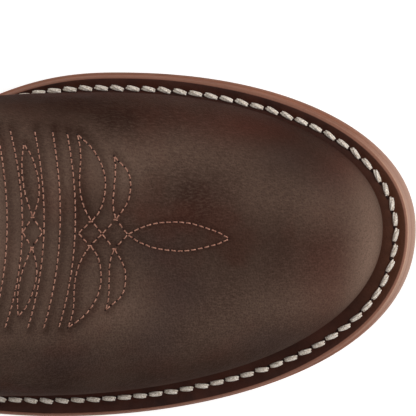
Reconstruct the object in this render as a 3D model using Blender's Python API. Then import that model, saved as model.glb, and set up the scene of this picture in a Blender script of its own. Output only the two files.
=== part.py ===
"""Western boot for the right foot: broad round toe, stitched welt, stacked heel, plain shaft, pull straps.

Sizes below are millimetres. A station is the distance forward from the back of the heel seat, y is
positive towards the medial (inner) side and z is up from the floor. Objects are placed in metres,
+X towards the toe, with the origin on the floor under the middle of the sole.
"""

import bmesh
import bpy
import numpy as np

MM = 0.001

# Driving dimensions
SOLE_LENGTH = 305.0
HEEL_HEIGHT = 40.0
TOE_SPRING = 11.0
OUTSOLE_THICKNESS = 5.0
INSOLE_THICKNESS = 3.0
UPPER_WALL = 2.2
OVERLAY_THICKNESS = 1.2
GAP = 0.3

# Underside of the sole: flat heel seat, shank, flat tread under the ball, toe spring
SEAT_END = 72.0
SHANK_MIDDLE = (130.0, 16.5, -0.43)
BALL_START = 193.0
BALL_END = 227.0
TOE_SPRING_POWER = 1.6

# Plan outlines. Each toe and heel end is a superellipse a side; the sides between follow the table below.
FORM_COLUMNS = (
    "back", "tip", "toe_lean", "medial_depth", "lateral_depth",
    "toe_power", "heel_lean", "heel_half", "heel_depth", "medial_ball", "lateral_ball",
)
FORMS = {
    "sole": (0.0, 305.0, 4.8, 96.0, 118.0, 2.15, -1.0, 34.0, 36.0, 54.7, 56.3),
    "feather": (5.0, 291.4, 5.8, 84.0, 103.0, 2.10, -1.0, 29.0, 32.0, 45.5, 44.0),
    "belly": (4.0, 292.4, 6.2, 84.0, 105.0, 2.10, -1.0, 32.5, 34.0, 47.8, 45.4),
}
HEEL_POWER = 2.3
SIDE_COLUMNS = (
    "station", "sole_medial", "sole_lateral", "feather_medial", "feather_lateral",
    "belly_medial", "belly_lateral",
)
SIDES = (
    (36.0, 33.0, 35.0, 28.0, 30.0, 31.5, 33.5),
    (55.0, 32.4, 35.0, 27.4, 30.2, 32.8, 34.8),
    (80.0, 29.8, 35.2, 25.0, 30.2, 34.0, 36.2),
    (100.0, 28.0, 36.6, 22.6, 31.4, 35.4, 37.8),
    (118.0, 28.6, 40.0, 22.4, 34.0, 37.6, 39.8),
    (136.0, 32.2, 45.8, 25.2, 37.8, 40.8, 42.2),
    (154.0, 39.8, 51.8, 32.0, 41.6, 44.4, 44.2),
    (172.0, 48.0, 55.2, 39.8, 43.6, 46.8, 45.2),
    (190.0, 53.2, 56.3, 44.4, 44.0, 47.7, 45.4),
    (208.0, 54.7, 56.3, 45.5, 43.7, 47.8, 45.0),
)

# Edge of the sole: the wall flares outwards to the floor and the welt's top corner is bevelled
OUTSOLE_FLARE = 0.6
EDGE_FLARE = 1.0
WELT_BEVEL = 0.8
WELT_LAP = 4.6
WELT_END = 79.0
WELT_TAPER_COLUMNS = ("station", "feather", "welt")
WELT_TAPER = (
    (0.0, 0.0, 0.0),
    (64.0, 0.0, 0.0),
    (79.0, 1.4, 0.7),
    (104.0, 3.8, 3.2),
    (116.0, 3.8, 3.5),
    (305.0, 3.8, 3.5),
)
PATH_MARGIN = 3.0

# Insole board: clear of the upper's wall in the heel and of the welt in front
INSOLE_HEEL_CLEAR = 3.2
INSOLE_FRONT_CLEAR = 5.1
INSOLE_CHANGE = (62.0, 80.0)

# Heel
LEATHER_LIFTS = 4
TOP_LIFT_THICKNESS = 6.4
HEEL_INSET = 1.0
HEEL_UNDERSLING = 9.0
HEEL_BREAST_RAKE = 2.5
HEEL_SIDE_TAPER = 3.4
HEEL_BACK_SHARE = 0.25

# Rings of the upper, feather edge to collar. front and back are the two side-view profiles; medial and
# lateral are the widest half widths; tuck draws the ring in to the feather outline; oval turns it to a
# plain oval; dip lets it follow the bend of the sole; crown lifts the sides above the front and back.
RING_COLUMNS = (
    "front", "front_z", "back", "back_z", "medial", "lateral", "tuck", "oval", "dip", "crown",
)
RINGS = (
    (291.4, 18.0, 5.0, 45.3, 47.8, 45.4, 1.00, 0.00, 1.00, 0.0),
    (292.2, 23.5, 4.2, 51.8, 47.8, 45.4, 0.52, 0.00, 1.00, 0.0),
    (291.7, 29.5, 3.6, 58.5, 47.8, 45.4, 0.20, 0.00, 0.98, 0.0),
    (288.8, 36.0, 3.4, 65.0, 47.5, 45.2, 0.04, 0.02, 0.93, 0.0),
    (283.4, 41.2, 3.8, 71.5, 46.9, 44.6, 0.00, 0.06, 0.86, 0.0),
    (273.4, 45.6, 4.8, 78.0, 45.9, 43.8, 0.00, 0.12, 0.77, 0.0),
    (258.8, 49.8, 6.4, 84.5, 44.7, 43.0, 0.00, 0.20, 0.66, 0.0),
    (242.0, 54.2, 8.6, 91.0, 43.5, 42.2, 0.00, 0.30, 0.54, 0.0),
    (224.4, 59.6, 11.2, 97.5, 42.4, 41.4, 0.00, 0.42, 0.42, 0.0),
    (206.6, 66.6, 13.8, 104.0, 41.4, 40.6, 0.00, 0.55, 0.30, 0.0),
    (189.6, 76.0, 16.0, 111.0, 40.4, 39.8, 0.00, 0.68, 0.19, 0.0),
    (174.6, 88.4, 17.6, 119.0, 39.6, 39.2, 0.00, 0.80, 0.10, 0.0),
    (162.6, 104.6, 18.2, 129.0, 39.0, 39.0, 0.00, 0.90, 0.04, 0.0),
    (154.4, 126.0, 17.4, 143.0, 39.4, 39.4, 0.00, 0.97, 0.01, 0.0),
    (150.4, 155.0, 14.8, 165.0, 41.0, 41.0, 0.00, 1.00, 0.00, 1.0),
    (149.0, 194.0, 11.4, 198.0, 43.4, 43.4, 0.00, 1.00, 0.00, 6.0),
    (149.4, 238.0, 8.8, 240.0, 45.4, 45.4, 0.00, 1.00, 0.00, 17.0),
    (151.2, 282.0, 7.6, 288.0, 46.6, 46.6, 0.00, 1.00, 0.00, 38.0),
)
COLLAR_ROW = len(RINGS) - 1
FOOT_ROWS = 14
TOE_ROWS = 5
OVAL_POWER = 2.15
CROWN_POWER = 1.3
CENTRE_COLUMNS = ("station", "lean")
CENTRE = (
    (0.0, -1.0), (60.0, 0.5), (120.0, 3.6), (165.0, 5.6), (215.0, 5.4), (260.0, 5.4), (305.0, 6.2),
)

# Overlays: side-view edges of the vamp and the counter, from the side seam to the tongue and to the back
SEAM_FOOT = 90.0
SEAM_TOP = 78.0
SEAM_HALF_GAP = 1.8
EDGE_COLUMNS = ("station", "z")
VAMP_EDGE = (
    (91.8, 72.0), (112.0, 70.0), (130.0, 76.0), (144.0, 92.0), (153.0, 112.0), (166.0, 128.0),
)
COUNTER_EDGE = ((88.2, 72.0), (66.0, 74.0), (44.0, 86.0), (24.0, 102.0), (8.0, 112.0))
EDGE_STEPS = 12
CUTTER_HALF = 80.0
CUTTER_FLOOR = -10.0
CUTTER_MARGIN = 20.0

# Trims
PIPING_RADIUS = 1.1
PIPING_SIDES = 6
PIPING_GAP = 0.5
PIPING_FIRST_ROW = 0.35
PIPING_LEAN_ROW = 6.0
PIPING_END_ROWS = 0.1
PIPING_FOOT_STEPS = 8
PIPING_SHAFT_STEPS = 12
SEAM_TURN_ROW = 5.0
BINDING_ROWS = 0.17
BINDING_THICKNESS = 0.9
STRAP_WIDTH = 28.0
STRAP_THICKNESS = 2.0
STRAP_LEG_ROWS = 1.25
STRAP_CLEAR = 1.6
STRAP_RISE = 24.0
STRAP_BULGE = 4.0
STRAP_ROUND = 0.8
STRAP_SETTLE_ROWS = 0.825
STRAP_LINES = 5
STRAP_LEG_STEPS = 6
STRAP_LOOP_STEPS = 11

# Mesh fineness
OUTLINE_STEPS = 40
HEEL_STEPS = 12
UPPER_COLUMNS = 48
EVEN_ROW = 2.0
FINE_STEPS = 1201
SLOPE_STEP_U = 0.004
SLOPE_STEP_ROW = 0.04
MERGE_DISTANCE = 1e-7
SMOOTH_ANGLE = 0.6

# Colours (linear) and roughness
FINISHES = {
    "brown_leather": ((0.050, 0.028, 0.020), 0.50),
    "welt_leather": ((0.040, 0.018, 0.012), 0.55),
    "sole_leather": ((0.300, 0.130, 0.075), 0.45),
    "heel_leather": ((0.110, 0.048, 0.028), 0.45),
    "top_rubber": ((0.018, 0.016, 0.015), 0.75),
    "insole_leather": ((0.380, 0.250, 0.150), 0.70),
}


def spline(xs, ys, at):
    """Natural cubic spline through the points (xs, ys), read at an array of places."""
    xs = np.asarray(xs, float)
    ys = np.asarray(ys, float)
    at = np.clip(np.asarray(at, float), xs[0], xs[-1])
    span = np.diff(xs)
    rise = np.diff(ys) / span
    count = len(xs)
    matrix = np.eye(count)
    right = np.zeros(count)
    for i in range(1, count - 1):
        matrix[i, i - 1] = span[i - 1]
        matrix[i, i] = 2 * (span[i - 1] + span[i])
        matrix[i, i + 1] = span[i]
        right[i] = 6 * (rise[i] - rise[i - 1])
    bend = np.linalg.solve(matrix, right)
    i = np.clip(np.searchsorted(xs, at, side="right") - 1, 0, count - 2)
    a = xs[i + 1] - at
    b = at - xs[i]
    h = span[i]
    return (
        (bend[i] * a**3 + bend[i + 1] * b**3) / (6 * h)
        + (ys[i] / h - bend[i] * h / 6) * a
        + (ys[i + 1] / h - bend[i + 1] * h / 6) * b
    )


def column(table, names, name):
    """One column of a table, by its name."""
    return [row[names.index(name)] for row in table]


def form_values(form):
    """Sizes of a plan form, by column name."""
    return dict(zip(FORM_COLUMNS, FORMS[form]))


def arc(share, power):
    """Quarter of a superellipse: 1 at share 0, falling to 0 at share 1."""
    return np.maximum(0.0, 1 - np.clip(share, 0, 1) ** power) ** (1 / power)


def outline(form, station, side):
    """y of a plan outline at stations; side is +1 medial or -1 lateral."""
    name = "medial" if side > 0 else "lateral"
    size = form_values(form)
    station = np.asarray(station, float)
    depth = size[name + "_depth"]
    ball = size[name + "_ball"]
    start = size["tip"] - depth
    bow = arc((station - start) / depth, size["toe_power"])
    toe = size["toe_lean"] + (side * ball - size["toe_lean"]) * bow
    heel_end = size["back"] + size["heel_depth"]
    curve = arc((heel_end - station) / size["heel_depth"], HEEL_POWER)
    heel = size["heel_lean"] + side * size["heel_half"] * curve
    stations = column(SIDES, SIDE_COLUMNS, "station")
    halves = column(SIDES, SIDE_COLUMNS, f"{form}_{name}")
    count = sum(place < start for place in stations)
    sides = side * spline(stations[:count] + [start], halves[:count] + [ball], station)
    return np.where(station < heel_end, heel, np.where(station > start, toe, sides))


def hermite(low, high, at):
    """Cubic between two (place, height, slope) rows."""
    span = high[0] - low[0]
    t = np.clip((at - low[0]) / span, 0, 1)
    return (
        (2 * t**3 - 3 * t**2 + 1) * low[1]
        + (t**3 - 2 * t**2 + t) * span * low[2]
        + (3 * t**2 - 2 * t**3) * high[1]
        + (t**3 - t**2) * span * high[2]
    )


def sole_bottom(station):
    """z of the outsole's underside."""
    station = np.asarray(station, float)
    rear = hermite((SEAT_END, HEEL_HEIGHT, 0.0), SHANK_MIDDLE, station)
    front = hermite(SHANK_MIDDLE, (BALL_START, 0.0, 0.0), station)
    spring = np.clip((station - BALL_END) / (SOLE_LENGTH - BALL_END), 0, 2)
    return np.where(station < SHANK_MIDDLE[0], rear, front) + TOE_SPRING * spring**TOE_SPRING_POWER


def sole_top(station):
    return sole_bottom(station) + OUTSOLE_THICKNESS


def welt_taper(station, name):
    """Feather edge or welt top above the gap over the outsole; both run out at the heel."""
    stations = column(WELT_TAPER, WELT_TAPER_COLUMNS, "station")
    return np.interp(station, stations, column(WELT_TAPER, WELT_TAPER_COLUMNS, name))


def feather_height(station):
    return sole_top(station) + GAP + welt_taper(station, "feather")


def travelled(path):
    """Length along a path up to each of its points."""
    return np.concatenate(([0.0], np.cumsum(np.linalg.norm(np.diff(path, axis=0), axis=1))))


def plan_shares():
    """Shares of a form's length that space points evenly along the sole's edge."""
    fine = (1 - np.cos(np.pi * np.linspace(0, 1, FINE_STEPS))) / 2
    length = travelled(np.column_stack((SOLE_LENGTH * fine, outline("sole", SOLE_LENGTH * fine, 1))))
    return np.interp(length[-1] * np.arange(OUTLINE_STEPS + 1) / OUTLINE_STEPS, length, fine)


def plan_loop(form):
    """Closed plan loop of a form: heel to toe along the medial side, then back along the lateral side."""
    size = form_values(form)
    stations = size["back"] + (size["tip"] - size["back"]) * plan_shares()
    medial = np.column_stack((stations, outline(form, stations, 1)))
    lateral = np.column_stack((stations, outline(form, stations, -1)))
    return np.vstack((medial, lateral[-2:0:-1]))


def inset(loop, distance):
    """A plan loop moved inwards by a distance, or by an array of distances."""
    along = np.roll(loop, -1, axis=0) - np.roll(loop, 1, axis=0)
    inward = np.column_stack((along[:, 1], -along[:, 0]))
    inward /= np.linalg.norm(inward, axis=1)[:, None]
    return loop + inward * np.broadcast_to(distance, len(loop))[:, None]


def lifted(loop, height):
    """A plan loop put at the heights of a function of the station."""
    return np.column_stack((loop, height(loop[:, 0])))


def ring_values(row):
    """Ring table at fractional rows, by column name."""
    rows = np.arange(len(RINGS))
    return {name: spline(rows, column(RINGS, RING_COLUMNS, name), row) for name in RING_COLUMNS}


def half_shape(form, t, side):
    """Half width of a form from the centre line at a share of its length."""
    size = form_values(form)
    station = size["back"] + (size["tip"] - size["back"]) * t
    return np.abs(outline(form, station, side) - centre(station))


def centre(station):
    stations = column(CENTRE, CENTRE_COLUMNS, "station")
    return spline(stations, column(CENTRE, CENTRE_COLUMNS, "lean"), station)


def base_surface(u, row):
    """Outer face of the upper: u runs round from the back over the medial side, row up the ring table."""
    u = np.asarray(u, float)
    ring = ring_values(np.asarray(row, float))
    t = (1 - np.cos(2 * np.pi * u)) / 2
    medial = np.sin(2 * np.pi * u) >= 0
    station = ring["back"] + (ring["front"] - ring["back"]) * t
    oval = arc(np.abs(2 * t - 1), OVAL_POWER)
    half = np.zeros_like(station)
    for side, name, mask in ((1, "medial", medial), (-1, "lateral", ~medial)):
        belly = half_shape("belly", t, side)
        widest = form_values("belly")[name + "_ball"]
        foot = belly + (half_shape("feather", t, side) - belly) * ring["tuck"]
        foot = foot * ring[name] / widest
        whole = foot + (oval * ring[name] - foot) * ring["oval"]
        half = np.where(mask, side * whole, half)
    first = dict(zip(RING_COLUMNS, RINGS[0]))
    foot_station = first["back"] + (first["front"] - first["back"]) * t
    bend = feather_height(foot_station) - (first["back_z"] + (first["front_z"] - first["back_z"]) * t)
    height = ring["back_z"] + (ring["front_z"] - ring["back_z"]) * t + ring["dip"] * bend
    height = height + ring["crown"] * np.abs(np.sin(2 * np.pi * u)) ** CROWN_POWER
    return np.stack((station, centre(station) + half, height), axis=-1)


def surface(u, row, offset=0.0):
    """Face parallel to the upper's outer face; outwards is positive. The feather row keeps its own height."""
    u, row, offset = (np.array(a, float) for a in np.broadcast_arrays(u, row, offset))
    above = np.minimum(row + SLOPE_STEP_ROW, COLLAR_ROW)
    below = np.maximum(row - SLOPE_STEP_ROW, 0)
    du = base_surface(u + SLOPE_STEP_U, row) - base_surface(u - SLOPE_STEP_U, row)
    dv = base_surface(u, above) - base_surface(u, below)
    normal = np.cross(dv, du)
    normal /= np.linalg.norm(normal, axis=-1)[..., None]
    normal[..., 2] *= np.clip(row, 0, 1)
    normal /= np.linalg.norm(normal, axis=-1)[..., None]
    moved = base_surface(u, row) + normal * offset[..., None]
    foot = np.where(row <= 0, 1, 0)
    moved[..., 2] += foot * (feather_height(moved[..., 0]) - moved[..., 2])
    return moved


def column_at(station, row, side):
    """u of the column that crosses a station on a row."""
    ring = ring_values(row)
    share = np.clip((station - ring["back"]) / (ring["front"] - ring["back"]), 0, 1)
    turn = np.arccos(1 - 2 * share) / (2 * np.pi)
    return turn if side > 0 else 1 - turn


def seam_station(row):
    """The side seam stands upright between the overlays, then leans back to the pull strap."""
    return np.interp(row, (SEAM_TURN_ROW, COLLAR_ROW), (SEAM_FOOT, SEAM_TOP))


def placed(points):
    """Millimetre points as metres about the middle of the sole."""
    points = np.asarray(points, float).reshape(-1, 3)
    return (points - np.array((SOLE_LENGTH / 2, 0.0, 0.0))) * MM


def add_object(name, points, faces, finish):
    """One closed body from millimetre points, its faces turned outwards."""
    mesh = bpy.data.meshes.new(name)
    mesh.from_pydata([tuple(p) for p in placed(points)], [], faces)
    body = bmesh.new()
    body.from_mesh(mesh)
    bmesh.ops.remove_doubles(body, verts=body.verts, dist=MERGE_DISTANCE)
    bmesh.ops.dissolve_degenerate(body, edges=body.edges, dist=MERGE_DISTANCE)
    bmesh.ops.recalc_face_normals(body, faces=body.faces)
    body.to_mesh(mesh)
    body.free()
    mesh.shade_smooth()
    mesh.set_sharp_from_angle(angle=SMOOTH_ANGLE)
    made = bpy.data.objects.new(name, mesh)
    bpy.context.scene.collection.objects.link(made)
    mesh.materials.append(material(finish))
    return made


def material(finish):
    known = bpy.data.materials.get(finish)
    if known:
        return known
    colour, roughness = FINISHES[finish]
    made = bpy.data.materials.new(finish)
    made.use_nodes = True
    shader = made.node_tree.nodes["Principled BSDF"]
    shader.inputs["Base Color"].default_value = (*colour, 1.0)
    shader.inputs["Roughness"].default_value = roughness
    shader.inputs["Metallic"].default_value = 0.0
    return made


def stack(name, loops, finish):
    """Solid between plan loops piled up, closed below and above by strips from side to side."""
    count = len(loops[0])
    faces = []
    for level in range(len(loops) - 1):
        for i in range(count):
            j = (i + 1) % count
            low, high = level * count, (level + 1) * count
            faces.append((low + i, low + j, high + j, high + i))
    for start in (0, (len(loops) - 1) * count):
        for i in range((count + 1) // 2):
            corners = [i, i + 1, (count - i - 1) % count, (count - i) % count]
            corners = list(dict.fromkeys(corners))
            if len(corners) > 2:
                faces.append(tuple(start + c for c in corners))
    return add_object(name, np.vstack(loops), faces, finish)


def slab(name, inner, outer, finish):
    """Solid between two facing grids of the same size."""
    rows, cols = inner.shape[:2]
    half = rows * cols
    faces = []
    for i in range(rows - 1):
        for j in range(cols - 1):
            corners = (i * cols + j, (i + 1) * cols + j, (i + 1) * cols + j + 1, i * cols + j + 1)
            faces.append(corners)
            faces.append(tuple(half + c for c in reversed(corners)))
    rim = [i * cols for i in range(rows)]
    rim += [(rows - 1) * cols + j for j in range(1, cols)]
    rim += [i * cols + cols - 1 for i in range(rows - 2, -1, -1)]
    rim += list(range(cols - 2, 0, -1))
    for a, b in zip(rim, rim[1:] + rim[:1]):
        faces.append((a, b, half + b, half + a))
    return add_object(name, np.vstack((inner.reshape(-1, 3), outer.reshape(-1, 3))), faces, finish)


def wrap(name, sections, finish, closed):
    """Solid swept through closed sections, joined end to end or capped."""
    count, size = sections.shape[:2]
    faces = []
    for i in range(count if closed else count - 1):
        n = (i + 1) % count
        for j in range(size):
            k = (j + 1) % size
            faces.append((i * size + j, n * size + j, n * size + k, i * size + k))
    if not closed:
        faces.append(tuple(range(size)))
        faces.append(tuple((count - 1) * size + j for j in range(size)))
    return add_object(name, sections.reshape(-1, 3), faces, finish)


def make_outsole():
    loop = plan_loop("sole")
    top = inset(loop, OUTSOLE_FLARE)
    stack("outsole", [lifted(loop, sole_bottom), lifted(top, sole_top)], "sole_leather")


def side_path(loop, start):
    """The part of a plan loop ahead of a station, from its medial cut round the toe to its lateral cut."""
    medial = loop[: OUTLINE_STEPS + 1]
    lateral = np.vstack((loop[OUTLINE_STEPS:], loop[:1]))[::-1]
    cuts = [[start, np.interp(start, half[:, 0], half[:, 1])] for half in (medial, lateral)]
    ahead = (np.arange(len(loop)) > 0) & (plan_loop("sole")[:, 0] > start + PATH_MARGIN)
    return np.vstack((cuts[:1], loop[ahead], cuts[1:]))


def make_welt():
    """Open horseshoe from the heel breast round the toe, thinned to its ends."""
    edge = plan_loop("sole")
    lap = inset(plan_loop("feather"), WELT_LAP)

    def under(station):
        return sole_top(station) + GAP

    def over(station):
        return sole_top(station) + GAP + welt_taper(station, "welt")

    def corner(station):
        return over(station) - np.minimum(WELT_BEVEL, 0.5 * welt_taper(station, "welt"))

    parts = (
        (inset(edge, OUTSOLE_FLARE), under),
        (inset(edge, EDGE_FLARE), corner),
        (inset(edge, EDGE_FLARE + WELT_BEVEL), over),
        (lap, over),
        (lap, under),
    )
    sections = np.stack([lifted(side_path(loop, WELT_END), height) for loop, height in parts], axis=1)
    wrap("welt", sections, "welt_leather", closed=False)


def make_insole():
    """Flat board on the outsole, inside the welt and, in the heel, inside the upper."""
    loop = plan_loop("feather")
    shape = inset(loop, np.interp(loop[:, 0], INSOLE_CHANGE, (INSOLE_HEEL_CLEAR, INSOLE_FRONT_CLEAR)))
    bottom = lifted(shape, sole_top) + np.array((0.0, 0.0, GAP))
    top = bottom + np.array((0.0, 0.0, INSOLE_THICKNESS))
    stack("insole", [bottom, top], "insole_leather")


def heel_loop(height):
    """Plan loop of the heel at a height: underslung at the back, tapered at the sides, straight in front."""
    drop = 1 - height / HEEL_HEIGHT
    share = 1 - np.cos(np.pi / 2 * np.arange(HEEL_STEPS + 1) / HEEL_STEPS)
    back = HEEL_INSET + HEEL_UNDERSLING * drop
    front = SEAT_END - HEEL_BREAST_RAKE * drop
    station = back + (front - back) * share
    middle = form_values("sole")["heel_lean"]
    narrower = (HEEL_INSET + HEEL_SIDE_TAPER * drop) * np.minimum(1, share / HEEL_BACK_SHARE)
    halves = []
    for side in (1, -1):
        half = np.abs(outline("sole", SEAT_END * share, side) - middle)
        halves.append(np.column_stack((station, middle + side * np.maximum(half - narrower, 0))))
    loop = np.vstack((halves[0], halves[1][:0:-1]))
    return np.column_stack((loop, np.full(len(loop), height)))


def make_heel():
    bottom = TOP_LIFT_THICKNESS + GAP
    stack("top_lift", [heel_loop(0.0), heel_loop(TOP_LIFT_THICKNESS)], "top_rubber")
    pitch = (HEEL_HEIGHT - bottom) / LEATHER_LIFTS
    for i in range(LEATHER_LIFTS):
        low = bottom + i * pitch
        stack(f"heel_lift_{i + 1}", [heel_loop(low), heel_loop(low + pitch - GAP)], "heel_leather")


def upper_columns():
    """Places round the upper, evenly spaced along its widest ring."""
    fine = np.linspace(0, 1, FINE_STEPS)
    length = travelled(base_surface(fine, np.full_like(fine, EVEN_ROW)))
    return np.interp(length[-1] * np.arange(UPPER_COLUMNS) / UPPER_COLUMNS, length, fine)


def ring_rows(end):
    """Rows of the rings, doubled where the toe curves over."""
    return np.concatenate((np.arange(0, TOE_ROWS, 0.5), np.arange(TOE_ROWS, end + 1)))


def shell(name, near, far, rows):
    """Closed skin between two faces parallel to the upper's outer face."""
    u = upper_columns()[:, None]
    outer = surface(u, rows[None, :], far)
    inner = surface(u, rows[None, ::-1], near)
    return wrap(name, np.concatenate((outer, inner), axis=1), "brown_leather", closed=True)


def make_upper():
    shell("upper", -UPPER_WALL, 0.0, ring_rows(COLLAR_ROW))


def side_cutter(name, profile):
    """Block with a side-view profile of (station, z), right across the boot."""
    count = len(profile)
    points = [(s, y, z) for y in (-CUTTER_HALF, CUTTER_HALF) for s, z in profile]
    faces = [tuple(range(count)), tuple(range(2 * count - 1, count - 1, -1))]
    faces += [(i, (i + 1) % count, count + (i + 1) % count, count + i) for i in range(count)]
    return add_object(name, points, faces, "brown_leather")


def make_overlays():
    """Vamp and counter: skins over the upper, cut to their side-view edges and parted at the side seam."""
    for name, edge, seam, end in (
        ("vamp", VAMP_EDGE, SEAM_FOOT + SEAM_HALF_GAP, SOLE_LENGTH + CUTTER_MARGIN),
        ("counter", COUNTER_EDGE[::-1], SEAM_FOOT - SEAM_HALF_GAP, -CUTTER_MARGIN),
    ):
        skin = shell(name, GAP, GAP + OVERLAY_THICKNESS, ring_rows(FOOT_ROWS))
        places = column(edge, EDGE_COLUMNS, "station")
        stations = np.linspace(places[0], places[-1], EDGE_STEPS)
        heights = spline(places, column(edge, EDGE_COLUMNS, "z"), stations)
        top = list(zip(stations, heights))
        if end < seam:
            top.reverse()
        profile = [(seam, CUTTER_FLOOR), *top, (end, top[-1][1]), (end, CUTTER_FLOOR)]
        cutter = side_cutter(name + "_cutter", profile)
        cutter.hide_render = True
        cutter.display_type = "WIRE"
        cut = skin.modifiers.new("cut", "BOOLEAN")
        cut.operation = "INTERSECT"
        cut.solver = "EXACT"
        cut.object = cutter


def make_piping():
    """Round cord along each side seam, from the welt to the foot of the pull strap."""
    last_row = COLLAR_ROW - STRAP_LEG_ROWS - PIPING_END_ROWS
    foot_rows = np.linspace(PIPING_FIRST_ROW, SEAM_TURN_ROW, PIPING_FOOT_STEPS)
    row = np.concatenate((foot_rows, np.linspace(PIPING_LEAN_ROW, last_row, PIPING_SHAFT_STEPS)))
    angle = 2 * np.pi * np.arange(PIPING_SIDES) / PIPING_SIDES
    for name, side in (("medial_piping", 1), ("lateral_piping", -1)):
        u = column_at(seam_station(row), row, side)
        foot = surface(u, row)
        out = surface(u, row, 1.0) - foot
        across = np.cross(np.gradient(foot, axis=0), out)
        across /= np.linalg.norm(across, axis=1)[:, None]
        middle = foot + out * (PIPING_GAP + PIPING_RADIUS)
        ring = np.cos(angle)[None, :, None] * out[:, None] + np.sin(angle)[None, :, None] * across[:, None]
        wrap(name, middle[:, None] + PIPING_RADIUS * ring, "brown_leather", closed=False)


def make_binding():
    """Strip folded over the collar."""
    u = upper_columns()
    low = COLLAR_ROW - BINDING_ROWS
    near = GAP
    far = GAP + BINDING_THICKNESS
    corners = (
        (low, near, 0.0),
        (low, far, 0.0),
        (COLLAR_ROW, far, far),
        (COLLAR_ROW, -UPPER_WALL - far, far),
        (low, -UPPER_WALL - far, 0.0),
        (low, -UPPER_WALL - near, 0.0),
        (COLLAR_ROW, -UPPER_WALL - near, near),
        (COLLAR_ROW, near, near),
    )
    sections = [surface(u, row, offset) + np.array((0.0, 0.0, rise)) for row, offset, rise in corners]
    wrap("collar_binding", np.stack(sections, axis=1), "brown_leather", closed=True)


def strap_line(shift, side, extra):
    """One line over a pull strap: up the outer leg, over the loop and down the inner leg."""
    leg = np.linspace(COLLAR_ROW - STRAP_LEG_ROWS, COLLAR_ROW, STRAP_LEG_STEPS)
    settled = np.clip((leg - leg[0]) / STRAP_SETTLE_ROWS, 0, 1)
    clear = GAP + (STRAP_CLEAR - GAP) * settled**2
    turn = np.linspace(0, np.pi, STRAP_LOOP_STEPS)[1:-1]
    u = column_at(SEAM_TOP + shift, COLLAR_ROW, side)
    rim = surface(u, COLLAR_ROW, -UPPER_WALL / 2)
    out = surface(u, COLLAR_ROW, 1.0) - surface(u, COLLAR_ROW)
    out[2] = 0.0
    outside = surface(u, leg, clear + extra)
    inside = surface(u, leg[::-1], -UPPER_WALL - clear[::-1] - extra)
    half = UPPER_WALL / 2 + STRAP_CLEAR + extra
    reach = np.cos(turn) * (half + STRAP_BULGE * np.sin(turn))
    rise = (STRAP_RISE + extra) * np.sin(turn) ** STRAP_ROUND
    loop = rim + reach[:, None] * out + rise[:, None] * np.array((0.0, 0.0, 1.0))
    return np.vstack((outside, loop, inside))


def make_straps():
    """Pull straps: a leg outside, a loop above the collar and a leg inside."""
    across = np.linspace(-STRAP_WIDTH / 2, STRAP_WIDTH / 2, STRAP_LINES)
    for name, side in (("medial_strap", 1), ("lateral_strap", -1)):
        inner = np.array([strap_line(shift, side, 0.0) for shift in across])
        outer = np.array([strap_line(shift, side, STRAP_THICKNESS) for shift in across])
        slab(name, inner, outer, "brown_leather")


for old in list(bpy.data.objects):
    bpy.data.objects.remove(old, do_unlink=True)

make_outsole()
make_welt()
make_insole()
make_heel()
make_upper()
make_overlays()
make_piping()
make_binding()
make_straps()
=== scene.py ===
import math

import bmesh
import bpy
import numpy as np
from mathutils import Matrix, Vector
from mathutils.bvhtree import BVHTree


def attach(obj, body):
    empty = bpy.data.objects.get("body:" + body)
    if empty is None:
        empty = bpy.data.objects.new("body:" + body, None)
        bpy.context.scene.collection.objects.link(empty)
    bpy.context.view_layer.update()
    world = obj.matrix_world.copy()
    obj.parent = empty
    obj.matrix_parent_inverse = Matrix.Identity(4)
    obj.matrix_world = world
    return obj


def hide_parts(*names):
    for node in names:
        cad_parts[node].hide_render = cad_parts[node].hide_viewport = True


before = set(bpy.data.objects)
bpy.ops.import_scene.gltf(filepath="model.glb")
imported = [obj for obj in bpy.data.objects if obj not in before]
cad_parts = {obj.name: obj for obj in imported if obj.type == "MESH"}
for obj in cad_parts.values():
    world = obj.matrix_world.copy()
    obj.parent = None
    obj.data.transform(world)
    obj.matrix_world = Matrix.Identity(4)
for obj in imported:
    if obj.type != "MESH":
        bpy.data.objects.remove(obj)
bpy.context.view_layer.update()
mm = 0.001

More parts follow.
